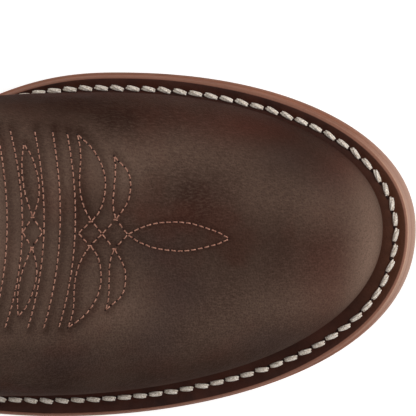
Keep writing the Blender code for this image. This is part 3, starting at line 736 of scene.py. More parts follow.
def motifPlan():
    # the motif's lines as plan points on the boot
    turn = math.radians(toeMotif["turn"])
    lines = []
    for start, bow, lean, half in toeMotif["rows"]:
        out = np.linspace(-half, half, toeMotif["rowPoints"])
        lines.append(np.column_stack((start - bow * out**2 + lean * out, out)))
    for name, points in toeMotif["strands"].items():
        if name in toeMotif["straight"]:
            count = toeMotif["crossPoints"]
            runs = [np.linspace(a, b, count)[:-1] for a, b in zip(points, points[1:])]
            half = np.vstack(runs + [points[-1:]])
        else:
            half = smoothLine(points, toeMotif["spacing"])
        leans = [value for key, value in toeMotif["lean"].items() if name.startswith(key)]
        lean = leans[0] if leans else 0.0
        for side in (1.0, -1.0):
            lines.append(half * (1.0, side) + np.outer(side * lean * half[:, 1], (1.0, 0.0)))
    axis = np.array(((math.cos(turn), math.sin(turn)), (-math.sin(turn), math.cos(turn))))
    return [np.array(toeMotif["knot"]) + line @ axis for line in lines]


motifLines = motifPlan()


def quilting(points):
    # how near each point lies to a sewn line, 1 on it and fading to 0, and where a painted highlight lies on
    # the puffs between them
    near = np.full(len(points), np.inf)
    sewn = np.vstack(motifLines)
    low, high = sewn.min(axis=0) - quilt["margin"], sewn.max(axis=0) + quilt["margin"]
    inside = np.where(((points[:, :2] > low) & (points[:, :2] < high)).all(axis=1))[0]
    for part in np.array_split(inside, max(1, len(inside) // quilt["batch"])):
        near[part] = ((points[part, None, :2] - sewn[None]) ** 2).sum(axis=2).min(axis=1)
    wide = quilt["puffReach"]
    puffed = np.exp(-near / wide**2) - np.exp(-near / (wide / 2) ** 2)
    return np.exp(-near / quilt["reach"] ** 2), puffed * np.interp(points[:, 0], quilt["puffEnd"], (1, 0))


# Soft folds a worn-in ankle keeps
ankleFolds = {
    # height, place round the ankle as u, reach in u, half height in mm, depth in mm
    "frontLow": (121.0, 0.50, 0.10, 5.0, 1.7),
    "frontHigh": (140.0, 0.49, 0.13, 6.5, 1.8),
    "medialFold": (131.0, 0.33, 0.07, 6.0, 1.5),
    "lateralFold": (134.0, 0.68, 0.07, 6.0, 1.5),
    "backLow": (133.0, 0.0, 0.11, 6.5, 1.7),
    "backHigh": (156.0, 0.02, 0.10, 7.5, 1.3),
}


def folded(u, row):
    # how far the leather sinks into the folds
    height = baseSurface(u, row)[..., 2]
    depth = np.zeros(height.shape)
    for z, middle, reach, half, deep in ankleFolds.values():
        aside = (np.asarray(u) - middle + 0.5) % 1 - 0.5
        depth = depth + deep * np.exp(-((height - z) / half) ** 2 - (aside / reach) ** 2)
    return depth


# Vamp and counter, laid on the upper's own face and cut to their side-view edges
vampShape = {
    "front": True, "columns": 250, "rows": 170, "seam": last["seam"][0] + last["seam"][2],
    # station, z of the top edge seen from the side
    "edge": ((91.8, 72.0), (112.0, 70.0), (130.0, 76.0), (144.0, 92.0), (153.0, 112.0), (166.0, 128.0)),
}
counterShape = {
    "front": False, "columns": 120, "rows": 60, "seam": last["seam"][0] - last["seam"][2],
    "edge": ((8.0, 112.0), (24.0, 102.0), (44.0, 86.0), (66.0, 74.0), (88.2, 72.0)),
}
edgeRound = {
    "radius": 1.1,
    "steps": (1.1, 0.6, 0.25, 0.0),  # mm below the cut edge
    "thin": 0.45,  # share of the thickness left at the edge
    "span": 400.0,  # mm from seam to seam over the vamp, about
}
# the rows between which a cut edge is looked for, and how finely
edgeSearch = {"rows": (1.0, 14.0), "halvings": 40, "points": 240}


def overlayColumn(shape, share, row):
    near = columnAt(shape["seam"], row, 1)
    return near + (1 - 2 * near) * share if shape["front"] else near * (1 - 2 * share)


def overlayEdge(shape, share):
    # row at which each column meets the side-view edge
    low, high = (np.full(len(share), row) for row in edgeSearch["rows"])
    for _ in range(edgeSearch["halvings"]):
        middle = (low + high) / 2
        point = baseSurface(overlayColumn(shape, share, middle), middle)
        below = point[:, 2] < spline(column(shape["edge"], 0), column(shape["edge"], 1), point[:, 0])
        low, high = np.where(below, middle, low), np.where(below, high, middle)
    return low


def overlayRows(shape, share, wanted):
    # rows at the lengths that wanted gives from a column's whole length, and their depth below the edge
    fine = overlayEdge(shape, share)[:, None] * np.linspace(0, 1, edgeSearch["points"])
    points = baseSurface(overlayColumn(shape, share[:, None], fine), fine)
    length = np.array([lengthAlong(line) for line in points])
    whole = length[:, -1:]
    up = wanted(whole)
    return np.stack([np.interp(at, l, f) for at, l, f in zip(up, length, fine)]), whole - up


def makeOverlay(name, shape, node):
    share = np.linspace(0, 1, shape["columns"])
    steps = np.array(edgeRound["steps"])

    def spaced(whole):
        even = (whole - edgeRound["radius"]) * np.linspace(0, 1, shape["rows"] - len(steps) + 1)
        return np.concatenate((even[:, :-1], whole - steps), axis=1)

    rows, below = overlayRows(shape, share, spaced)
    u = overlayColumn(shape, share[:, None], rows)
    seamward = np.minimum(share, 1 - share)[:, None] * edgeRound["span"]
    inside = np.clip(np.minimum(below, seamward) / edgeRound["radius"], 0, 1)
    swell = np.sqrt(1 - (1 - inside) ** 2)
    thick = last["overlay"] * (edgeRound["thin"] + (1 - edgeRound["thin"]) * swell)
    base = baseSurface(u, rows).reshape(-1, 3)
    sewn, puffed = (value.reshape(rows.shape) for value in quilting(base))
    sunk = folded(u, rows)
    outer = surface(u, rows, last["gap"] + thick - quilt["depth"] * sewn - sunk)
    inner = surface(u, rows, last["gap"] - sunk)
    tones = leatherTones(outer.reshape(-1, 3))
    # painted shade along the sewn lines, and a painted highlight on the puffs between them
    tones["sewn"] = quilt["tone"] * sewn.ravel()
    tones["pulledAndHighlight"] += quilt["puff"] * puffed.ravel()
    tones = {key: np.tile(tone, 2) for key, tone in tones.items()}
    faces = slabFaces(*rows.shape)
    addPiece(name, node, [brownLeather], (inner, outer), faces, None, tones, sharp=50.0)
    return outer


# Tones painted in spots: paler where the leather is pulled, with a painted highlight on the toe and ridges;
# darker where oil stays, with painted shade on the flanks and low sides; ruddy where the dye shows, cooler
# where it has gone dull
toneSpots = {
    # station, y, z, reach in mm along each, strength
    # paler where the leather is pulled, with a painted highlight on the toe's front and along the vamp's
    # ridges
    "pulledAndHighlight": (
        (287.0, 1.0, 34.0, 9.0, 20.0, 9.0, 1.0),
        (271.0, 15.0, 46.0, 14.0, 8.0, 14.0, 0.28),
        (268.0, -16.0, 44.0, 14.0, 9.0, 14.0, 0.36),
        (244.0, -20.0, 52.0, 16.0, 9.0, 14.0, 0.24),
        (252.0, 20.0, 50.0, 10.0, 9.0, 14.0, 0.20),
        (172.0, 12.0, 90.0, 9.0, 26.0, 24.0, 0.38),
        (194.0, 29.0, 68.0, 22.0, 9.0, 18.0, 0.30),
        (213.0, -18.0, 62.0, 12.0, 9.0, 16.0, 0.42),
        (193.0, 20.0, 72.0, 4.0, 9.0, 16.0, 0.22),
        (222.0, 31.0, 54.0, 12.0, 7.0, 14.0, 0.30),
        (240.0, 30.0, 46.0, 20.0, 7.0, 14.0, 0.26),
        (213.0, 25.0, 62.0, 6.0, 7.0, 16.0, 0.34),
        (182.0, 1.0, 80.0, 14.0, 7.0, 18.0, 0.20),
        (210.0, -6.0, 66.0, 9.0, 8.0, 16.0, 0.18),
        (188.0, -15.0, 76.0, 10.0, 10.0, 16.0, 0.22),
        (238.0, -30.0, 46.0, 20.0, 8.0, 14.0, 0.12),
    ),
    # darker where dressing lies, with painted shade on the flanks and the low sides of the vamp
    "oiledAndShade": (
        (180.0, 47.0, 38.0, 46.0, 11.0, 22.0, 0.75),
        (206.0, -47.0, 38.0, 50.0, 11.0, 22.0, 0.45),
        (250.0, 5.0, 52.0, 20.0, 13.0, 14.0, 0.36),
        (262.0, 30.0, 44.0, 14.0, 7.0, 14.0, 0.55),
        (264.0, 39.0, 30.0, 22.0, 8.0, 14.0, 0.55),
        (252.0, 37.0, 42.0, 14.0, 6.0, 12.0, 0.35),
        (192.0, 41.0, 56.0, 16.0, 6.0, 14.0, 0.40),
        (281.0, 27.0, 32.0, 9.0, 10.0, 14.0, 0.55),
        (201.5, 17.0, 70.0, 5.0, 8.0, 16.0, 0.55),
        (252.0, -33.0, 42.0, 14.0, 6.0, 14.0, 0.25),
        (236.0, -38.0, 40.0, 26.0, 6.0, 16.0, 0.15),
    ),
    "ruddy": (
        (277.0, -8.0, 42.0, 12.0, 18.0, 14.0, 0.45),
        (246.0, 38.0, 38.0, 20.0, 6.0, 14.0, 0.50),
        (281.0, 25.0, 34.0, 9.0, 8.0, 14.0, 0.40),
        (240.0, 12.0, 54.0, 12.0, 8.0, 14.0, 0.12),
        (180.0, 50.0, 28.0, 60.0, 7.0, 14.0, 0.35),
        (206.0, -50.0, 28.0, 60.0, 7.0, 14.0, 0.25),
    ),
    "cooled": (
        (223.0, 1.5, 60.0, 10.0, 6.0, 14.0, 0.50),
        (229.0, -13.0, 57.0, 9.0, 8.0, 14.0, 0.75),
        (222.0, -26.0, 53.0, 8.0, 9.0, 16.0, 0.70),
        (258.0, -28.0, 44.0, 12.0, 5.0, 14.0, 0.65),
        (262.0, 29.0, 44.0, 9.0, 5.0, 14.0, 0.45),
        (276.0, 21.0, 40.0, 8.0, 5.0, 14.0, 0.40),
        (196.0, -33.0, 58.0, 14.0, 6.0, 14.0, 0.40),
    ),
}


# Painted shade low on the upper along the welt, darker there also from dressing, less towards the toe
rimShade = {"reach": 11.0, "strength": 0.9, "toe": 4.0, "fade": (12.0, 30.0)}


def leatherTones(points):
    tones = {}
    for name, spots in toneSpots.items():
        tones[name] = np.zeros(len(points))
        for s, y, z, reachS, reachY, reachZ, strength in spots:
            away = (points - (s, y, z)) / (reachS, reachY, reachZ)
            tones[name] += strength * np.exp(-(away**2).sum(axis=1))
    above = (points[:, 2] - featherHeight(points[:, 0])) / rimShade["reach"]
    aside = np.interp(np.abs(points[:, 1] - rimShade["toe"]), rimShade["fade"], (0, 1))
    # painted shade low on the upper along the welt
    tones["oiledAndShade"] += rimShade["strength"] * np.exp(-above**2) * aside
    return tones


vampFace = makeOverlay("vampLeather", vampShape, "vamp")
makeOverlay("counterLeather", counterShape, "counter")
print("vamp and counter laid on")

# Shaft and the foot under the overlays: one wall, leather outside and lining inside
shaftShape = {"columns": 200, "rowsPerRing": 9}


def makeShaft():
    u = np.arange(shaftShape["columns"]) / shaftShape["columns"]
    rows = np.linspace(0, last["collarRow"], int(last["collarRow"]) * shaftShape["rowsPerRing"] + 1)
    sunk = folded(u[:, None], rows[None, :])
    outer = surface(u[:, None], rows[None, :], -sunk)
    inner = surface(u[:, None], rows[None, ::-1], -last["wall"] - sunk[:, ::-1])
    sections = np.concatenate((outer, inner), axis=1)
    size = sections.shape[1]
    lining = np.tile((np.arange(size) >= len(rows)) & (np.arange(size) < size - 1), len(u)).astype(int)
    tones = leatherTones(sections.reshape(-1, 3))
    faces = wrapFaces(len(u), size, True)
    sides = [shaftHide, liningLeather]
    addPiece("shaftLeather", "upper", sides, sections, faces, lining, tones, sharp=50.0)


makeShaft()
print("shaft made")

# Outsole: its edge has a small round at the tread and leans in a little to the welt
outsoleShape = {
    "foot": ((0.6, 0.0), (0.15, 0.15), (0.0, 0.5)),  # mm in from the edge, height over the tread
    "head": ((0.2, 1.6), (0.6, 0.2), (0.9, 0.0)),  # mm in from the edge, depth under the top
    "toeHighlightReach": 15.0,  # how far back from the tip the painted highlight on the edge reaches
}


# painted highlight on the edge, strongest at the tip of the toe
def toeHighlight(points):
    return np.exp(-((last["length"] - points.reshape(-1, 3)[:, 0]) / outsoleShape["toeHighlightReach"]) ** 2)


def makeOutsole():
    levels = []
    for inner, up in outsoleShape["foot"]:
        levels.append(soleLevel(inset(soleEdge, inner), lambda s: soleBottom(s) + up))
    for inner, down in outsoleShape["head"]:
        levels.append(soleLevel(inset(soleEdge, inner), lambda s: soleTop(s) - down))
    points = np.array(levels)
    faces = stackFaces(*points.shape[:2])
    tones = {"toeHighlight": toeHighlight(points)}
    addPiece("outsoleBoard", "outsole", [soleLeather], points, faces, None, tones, sharp=60.0)


# Welt: tan where it is trimmed, stained dark on top, with a shallow channel for the stitches
weltShape = {
    "start": 79.0,
    "startGap": 1.5,  # from its end to the next point of the edge
    "lap": 4.6,  # how far it runs in under the upper
    "wall": ((0.85, 0.0), (0.6, 0.2)),  # mm in from the sole's edge, height over the sole
    "shoulder": (0.95, 1.1),  # mm in, depth under the top
    "bevelIn": 1.0,
    "bevelDrop": 0.8,
    # station, width of the bevel on the medial side, 1, and the lateral side, -1
    "bevel": {
        1: ((79.0, 0.65), (223.0, 0.65), (245.0, 1.0), (297.0, 1.0), (305.0, 0.8)),
        -1: ((79.0, 0.75), (230.0, 0.75), (262.0, 0.7), (280.0, 0.95), (297.0, 0.95), (305.0, 0.8)),
    },
    # share of the bevel's width, share of its drop, how tan, how much painted highlight on the corner
    "bevelRows": (
        (0.0, 1.0, 1.0, 1.0), (0.2, 0.7, 1.0, 0.8), (0.4, 0.5, 1.0, 0.0),
        (0.75, 0.1, 1.0, 0.0), (1.0, 0.0, 0.9, 0.0),
    ),
    "stain": 0.15,  # mm over which the tan ends
    # station, how far in from the sole's edge the stitches run; the medial waist is cut close
    "stitchInset": {
        1: (
            (79.0, 2.0), (150.0, 2.0), (170.0, 2.6), (180.0, 3.1), (192.0, 4.3),
            (206.0, 4.8), (250.0, 5.25), (290.0, 5.0), (305.0, 4.9),
        ),
        -1: (
            (79.0, 2.0), (110.0, 2.0), (125.0, 2.6), (140.0, 4.2), (160.0, 5.5),
            (200.0, 6.0), (236.0, 5.9), (264.0, 5.5), (290.0, 5.0), (305.0, 4.9),
        ),
    },
    "channelHalf": 1.3,
    "channelDepth": 0.35,
    # share of the channel's half width, share of its depth, least distance in from the bevel
    "channelRows": ((-1.0, 0.0, 0.3), (-0.5, 1.0, 0.4), (0.5, 1.0, 0.5), (1.0, 0.0, 0.6)),
    "deepest": 0.5,  # share of the welt's thickness that any cut may take
    "cornerHighlight": 0.1,  # painted highlight left on the corner away from the toe
}


def sidePath(loop, start):
    # part of a plan loop ahead of a station, medial end round the toe to the lateral end
    steps = last["edgeSteps"]
    ends = []
    for half in (loop[:steps + 1], np.vstack((loop[steps:], loop[:1]))[::-1]):
        ends.append([start, np.interp(start, half[:, 0], half[:, 1])])
    ahead = (np.arange(len(loop)) > 0) & (soleEdge[:, 0] > start + weltShape["startGap"])
    return np.vstack((ends[:1], loop[ahead], ends[1:]))


def alongEdge(tables):
    # a distance in from each point of the sole's edge, read from a table for each side
    medial = np.arange(len(soleEdge)) <= last["edgeSteps"]
    near, far = (np.interp(soleEdge[:, 0], *np.transpose(tables[side])) for side in (1, -1))
    return np.where(medial, near, far)


def makeWelt():
    lap = inset(planLoop("feather"), weltShape["lap"])
    middle = alongEdge(weltShape["stitchInset"])
    wide = alongEdge(weltShape["bevel"])
    start, drop = weltShape["bevelIn"], weltShape["bevelDrop"]
    bevel = start + wide
    full = last["weltTaper"][-1][2]

    def over(height):
        return lambda s: boardLevel(s) + height * weltTaper(s, 2) / full

    def below(depth):
        return lambda s: weltTop(s) - np.minimum(depth, weltShape["deepest"] * weltTaper(s, 2))

    # plan loop, height, how much of the tan bevel and of the painted highlight on its corner shows
    levels = [(inset(soleEdge, inner), over(height), 0.0, 0.0) for inner, height in weltShape["wall"]]
    levels.append((inset(soleEdge, weltShape["shoulder"][0]), below(weltShape["shoulder"][1]), 0.0, 0.0))
    wallLevels = len(levels)
    for share, deep, tan, cornerHighlight in weltShape["bevelRows"]:
        levels.append((inset(soleEdge, start + share * wide), below(deep * drop), tan, cornerHighlight))
    levels.append((inset(soleEdge, bevel + weltShape["stain"]), below(0.0), 0.0, 0.0))
    for share, deep, clear in weltShape["channelRows"]:
        inner = np.maximum(middle + share * weltShape["channelHalf"], bevel + clear)
        levels.append((inset(soleEdge, inner), below(deep * weltShape["channelDepth"]), 0.0, 0.0))
    levels += [(lap, below(0.0), 0.0, 0.0), (lap, boardLevel, 0.0, 0.0)]
    paths = [(sidePath(level[0], weltShape["start"]), level[1]) for level in levels]
    outside = [soleLevel(*path) for path in paths[:-2]]
    sections = np.stack(outside + [lifted(*path) for path in paths[-2:]], axis=1)
    names = ("bevelled", "paintedHighlight")
    tones = {name: np.tile(column(levels, 2 + i), len(sections)) for i, name in enumerate(names)}
    # painted highlight on the edge near the toe, where the painted highlight on the corner is also strongest
    tones["toeHighlight"] = toeHighlight(sections)
    tones["paintedHighlight"] = tones["paintedHighlight"] * np.interp(tones["toeHighlight"], (0, 1), (weltShape["cornerHighlight"], 1))
    faces = wrapFaces(len(sections), len(levels), False)
    wall = [0 if j < wallLevels else 1 for j in range(len(levels))] * (len(sections) - 1) + [1, 1]
    addPiece("weltStrip", "welt", [soleLeather, weltLeather], sections, faces, wall, tones)


# Heel: stacked lifts, slung under at the back and narrower towards the floor
heelShape = {
    "steps": 48, "inset": 1.0, "undersling": 9.0, "rake": 2.5, "taper": 3.4,
    "backBlend": 0.25,  # share of the length over which the sides start to narrow
    "topLift": 6.4, "lifts": 4, "round": 0.35,
}


def heelLoop(height, shrink=0.0):
    drop = 1 - height / last["heelHeight"]
    share = 1 - np.cos(np.pi / 2 * np.arange(heelShape["steps"] + 1) / heelShape["steps"])
    back = heelShape["inset"] + heelShape["undersling"] * drop + shrink
    front = last["seatEnd"] - heelShape["rake"] * drop - shrink
    station = back + (front - back) * share
    middle = float(outline("sole", 0.0, 1))
    narrow = heelShape["inset"] + heelShape["taper"] * drop + shrink
    narrow = narrow * np.minimum(1, share / heelShape["backBlend"])
    halves = []
    for side in (1, -1):
        half = np.abs(outline("sole", last["seatEnd"] * share, side) - middle)
        halves.append(np.column_stack((station, middle + side * np.maximum(half - narrow, 0))))
    loop = np.vstack((halves[0], halves[1][:0:-1]))
    return np.column_stack((loop, np.full(len(loop), height)))


def makeHeel():
    rounded = heelShape["round"]
    bottom = heelShape["topLift"] + last["gap"]
    pitch = (last["heelHeight"] - bottom) / heelShape["lifts"]
    layers = [("heelTopLift", "top_lift", "top_rubber", topRubber, 0.0, heelShape["topLift"])]
    for i in range(heelShape["lifts"]):
        low = bottom + i * pitch
        high = low + pitch - last["gap"]
        layers.append((f"heelLift{i + 1}", f"heel_lift_{i + 1}", "heel_leather", heelLeather, low, high))
    for name, node, slot, material, low, high in layers:
        heights = ((low, rounded), (low + rounded, 0.0), (high - rounded, 0.0), (high, rounded))
        loops = np.array([heelLoop(*height) for height in heights])
        addPiece(name, node, [material], loops, stackFaces(*loops.shape[:2]), sharp=55.0)


# Board under the foot: it lies inside the welt and its thin lip reaches over the welt to the lining
insoleShape = {
    "columns": 144, "thickness": 3.0, "lip": 0.8, "lipThickness": 0.6, "rounded": 0.2,
    "rows": (2.0, 81),  # how far up the lining is searched, and how finely
    "sunk": 0.1,  # mm of the lip in the lining
    "change": (62.0, 80.0),  # stations between which the board narrows from the seat to the welt
    "lap": (1.0, 2.9),
}


def makeInsole():
    u = np.arange(insoleShape["columns"]) / insoleShape["columns"]
    rows = np.linspace(0, *insoleShape["rows"])
    rounded, ledge = insoleShape["rounded"], insoleShape["lipThickness"]

    def over(drop):
        lip = insoleShape["lip"]
        return lambda s: boardLevel(s) + np.maximum(insoleShape["thickness"], weltTaper(s, 1) + lip) - drop

    lining = surface(u[:, None], rows[None, :], -last["wall"])
    climb = lining[..., 2] - over(0.0)(lining[..., 0])
    edge = np.array([[np.interp(0.0, c, wall[:, k]) for k in range(2)] for c, wall in zip(climb, lining)])
    board = inset(edge, np.interp(edge[:, 0], insoleShape["change"], insoleShape["lap"]))
    lip = inset(edge, -insoleShape["sunk"])
    top = inset(edge, rounded)
    levels = (
        (board, boardLevel), (board, over(ledge)), (lip, over(ledge)), (lip, over(rounded)), (top, over(0.0)),
    )
    points = np.vstack([lifted(*level) for level in levels])
    faces = stackFaces(len(levels), len(u))
    addPiece("insoleBoard", "insole", [insoleLeather], points, faces)


makeOutsole()
makeWelt()
makeHeel()
makeInsole()
print("sole, welt, heel and insole made")

# Trims: seam piping, collar binding and pull straps
pipingShape = {
    "radius": 1.1, "gap": 0.5, "sides": 12, "steps": 110,
    "start": 0.35,  # rows up from the foot, and down from the strap's end
    "end": 0.1,
}
bindingShape = {
    "rows": 0.17, "thickness": 0.9, "columns": 200,
    "cut": (0.3, 0.1, 0.02),  # rounding of its outer edge: mm in, mm down, rows up
    "fold": (0.15, 0.85, 7),  # first and last part of a half turn, steps
    "foldPower": 0.6,
}
strapShape = {
    "width": 28.0, "thickness": 2.0, "legRows": 1.25, "legSteps": 30, "clear": 1.6,
    "clearBinding": 2.5,  # bindings below the collar where it stands clear
    "rise": 24.0, "bulge": 4.0, "loopSteps": 40, "loopPower": 0.8,
    # share of the half width, share of the thickness
    "section": ((0.0, 1.0), (0.4, 1.0), (0.7, 1.0), (0.94, 1.0), (0.985, 0.85), (1.0, 0.6)),
}


def facing(u, row, lift=0.0):
    # points laid over the upper, with the way it looks there
    points = surface(u, row, lift)
    return points, surface(u, row, lift + 1.0) - points


def seamStation(row):
    foot, top, _, turn = last["seam"]
    return np.interp(row, (turn, last["collarRow"]), (foot, top))


def makePiping():
    end = last["collarRow"] - strapShape["legRows"] - pipingShape["end"]
    row = np.linspace(pipingShape["start"], end, pipingShape["steps"])
    angle = 2 * np.pi * np.arange(pipingShape["sides"]) / pipingShape["sides"]
    radius = pipingShape["radius"]
    faces = wrapFaces(len(row), len(angle), False)
    for edge, side in (("medial", 1), ("lateral", -1)):
        foot, out = facing(columnAt(seamStation(row), row, side), row)
        across = unit(np.cross(np.gradient(foot, axis=0), out))
        middle = foot + out * (pipingShape["gap"] + radius)
        ring = np.cos(angle)[:, None] * out[:, None] + np.sin(angle)[:, None] * across[:, None]
        points = middle[:, None] + radius * ring
        addPiece(edge + "PipingCord", edge + "_piping", [shaftHide], points, faces)


def makeBinding():
    u = np.arange(bindingShape["columns"]) / bindingShape["columns"]
    top = last["collarRow"]
    low = top - bindingShape["rows"]
    near, far = last["gap"], last["gap"] + bindingShape["thickness"]
    wall = last["wall"]
    inward, down, up = bindingShape["cut"]
    # row, offset, rise; the fold is rounded over the collar
    corners = [(low, near, 0.0), (low, far - inward, -down), (low + up, far, 0.0), (top, far, 0.0)]
    for angle in np.pi * np.linspace(*bindingShape["fold"]):
        rise = far * math.sin(angle) ** bindingShape["foldPower"]
        corners.append((top, -wall / 2 + (wall / 2 + far) * math.cos(angle), rise))
    corners += [(top, -wall - far, 0.0), (low, -wall - far, 0.0), (low, -wall - near, 0.0)]
    corners += [(top, -wall - near, near), (top, near, near)]
    sections = [surface(u, row, offset) + np.array((0.0, 0.0, rise)) for row, offset, rise in corners]
    points = np.stack(sections, axis=1)
    faces = wrapFaces(len(u), len(corners), True)
    addPiece("collarBindingStrip", "collar_binding", [shaftHide], points, faces, sharp=60.0)


def strapLines(side, across, lift):
    # lines over a pull strap: up the outer leg, over the loop and down the inner leg
    top = last["collarRow"]
    wall = last["wall"]
    leg = np.linspace(top - strapShape["legRows"], top, strapShape["legSteps"])
    rising = strapShape["legRows"] - strapShape["clearBinding"] * bindingShape["rows"]
    under = np.clip((leg - leg[0]) / rising, 0, 1)
    clear = last["gap"] + (strapShape["clear"] - last["gap"]) * under**2
    turn = np.linspace(0, np.pi, strapShape["loopSteps"] + 1)[1:-1]
    lines = []
    for shift, extra in zip(across, lift):
        u = columnAt(last["seam"][1] + shift, top, side)
        rim = surface(u, top, -wall / 2)
        out = facing(u, top)[1] * (1.0, 1.0, 0.0)
        outside = surface(u, leg, clear + extra)
        inside = surface(u, leg[::-1], -wall - clear[::-1] - extra)
        reach = np.cos(turn) * (wall / 2 + strapShape["clear"] + extra + strapShape["bulge"] * np.sin(turn))
        rise = (strapShape["rise"] + extra) * np.sin(turn) ** strapShape["loopPower"]
        loop = rim + reach[:, None] * out + rise[:, None] * np.array((0.0, 0.0, 1.0))
        lines.append(np.vstack((outside, loop, inside)))
    return np.array(lines)


def makeStraps():
    section = np.array(strapShape["section"])
    across = strapShape["width"] / 2 * np.concatenate((-section[:0:-1, 0], section[:, 0]))
    swell = strapShape["thickness"] * np.concatenate((section[:0:-1, 1], section[:, 1]))
    for edge, side in (("medial", 1), ("lateral", -1)):
        points = np.array([strapLines(side, across, lift) for lift in (0 * swell, swell)])
        faces = slabFaces(*points.shape[1:3])
        addPiece(edge + "StrapLoop", edge + "_strap", [shaftHide], points, faces, sharp=60.0)


makePiping()
makeBinding()
makeStraps()
print("trims made")

# Stitching: paths laid on the boot, one modelled stitch set along each
weltSewing = {
    "pitch": 5.0, "length": 4.2, "plies": 3, "ply": 0.40, "spread": 0.48, "flat": 0.55, "twist": 0.5,
    "taper": 0.1, "pinch": 0.14, "stagger": 0.16, "blunt": 0.36, "crown": 0.75, "arch": 5, "sink": 0.25,
    "rings": (-1.0, -0.9, -0.5, 0.0, 0.5, 0.9, 1.0), "sides": 6,
    "slant": -13.0, "looseness": 7.0, "seed": 11, "start": 82.0, "hole": 0.85,
}
vampSewing = {
    "pitch": 2.1, "length": 1.6, "plies": 2, "ply": 0.19, "spread": 0.10, "flat": 0.4, "twist": 1.0,
    "taper": 0.0, "pinch": 0.0, "stagger": 0.0, "blunt": 0.4, "crown": 0.2, "arch": 3, "sink": 0.08,
    "rings": (-1.0, -0.5, 0.5, 1.0), "sides": 5,
    "slant": 0.0, "looseness": 5.0, "seed": 23, "hole": 0.46,
}
trimSewing = {
    **vampSewing, "pitch": 2.6, "length": 2.2, "seed": 37,
    "rows": (2.0, 4.4),  # mm below an overlay's edge
    "ends": 0.008,  # share of an overlay left free at each seam
    "edgePoints": 200,
    "bindingRow": 0.11,
    "bindingPoints": 300,
    "strapInset": 3.0,
    "strapPoints": 15,
    "strapLeg": (2, 28),  # first step of the outer leg that is sewn, and the one after the last
}
plyEnds = {"bluntPower": 6, "pinchPower": 3}  # how late the ends close in
# the dark disc of painted shade laid at each needle hole
needleHole = {"sides": 8, "squash": 0.8, "rings": ((1.0, -0.05), (0.6, 0.045))}  # share of radius, height


def threadShape(sewing):
    # one stitch lying along x: plies laid round each other, their blunt ends turned down into the holes
    t = np.array(sewing["rings"])
    away = np.abs(t)
    angle = 2 * np.pi * np.arange(sewing["sides"]) / sewing["sides"]
    radius = sewing["ply"] * (1 - sewing["blunt"] * away ** plyEnds["bluntPower"])
    lift = sewing["crown"] * (1 - away ** sewing["arch"]) - sewing["sink"]
    pinched = 1 - sewing["pinch"] * away ** plyEnds["pinchPower"]
    spread = sewing["spread"] * (1 - sewing["taper"] * t) * pinched
    points, faces = [], []
    for i in range(sewing["plies"]):
        turn = np.pi / 2 + 2 * np.pi * i / sewing["plies"] + sewing["twist"] * t
        x = t * sewing["length"] / 2 + sewing["stagger"] * np.cos(turn[0])
        y = (spread * np.cos(turn))[:, None] + radius[:, None] * np.cos(angle)
        z = (lift + sewing["flat"] * spread * np.sin(turn))[:, None] + radius[:, None] * np.sin(angle)
        points.append(np.stack((np.broadcast_to(x[:, None], y.shape), y, z), axis=-1).reshape(-1, 3))
        faces += [[i * y.size + corner for corner in face] for face in wrapFaces(len(t), len(angle), False)]
    return np.vstack(points), faces


def holeShape(sewing):
    # a dark disc of painted shade at the mouth of a needle hole, half a pitch ahead of its stitch
    sides = needleHole["sides"]
    angle = 2 * np.pi * np.arange(sides) / sides
    rings = []
    for share, height in needleHole["rings"]:
        radius = share * sewing["hole"]
        x = sewing["pitch"] / 2 + radius * np.cos(angle)
        y = needleHole["squash"] * radius * np.sin(angle)
        rings.append(np.column_stack((x, y, np.full(sides, height))))
    return np.vstack(rings), wrapFaces(len(rings), sides, False)


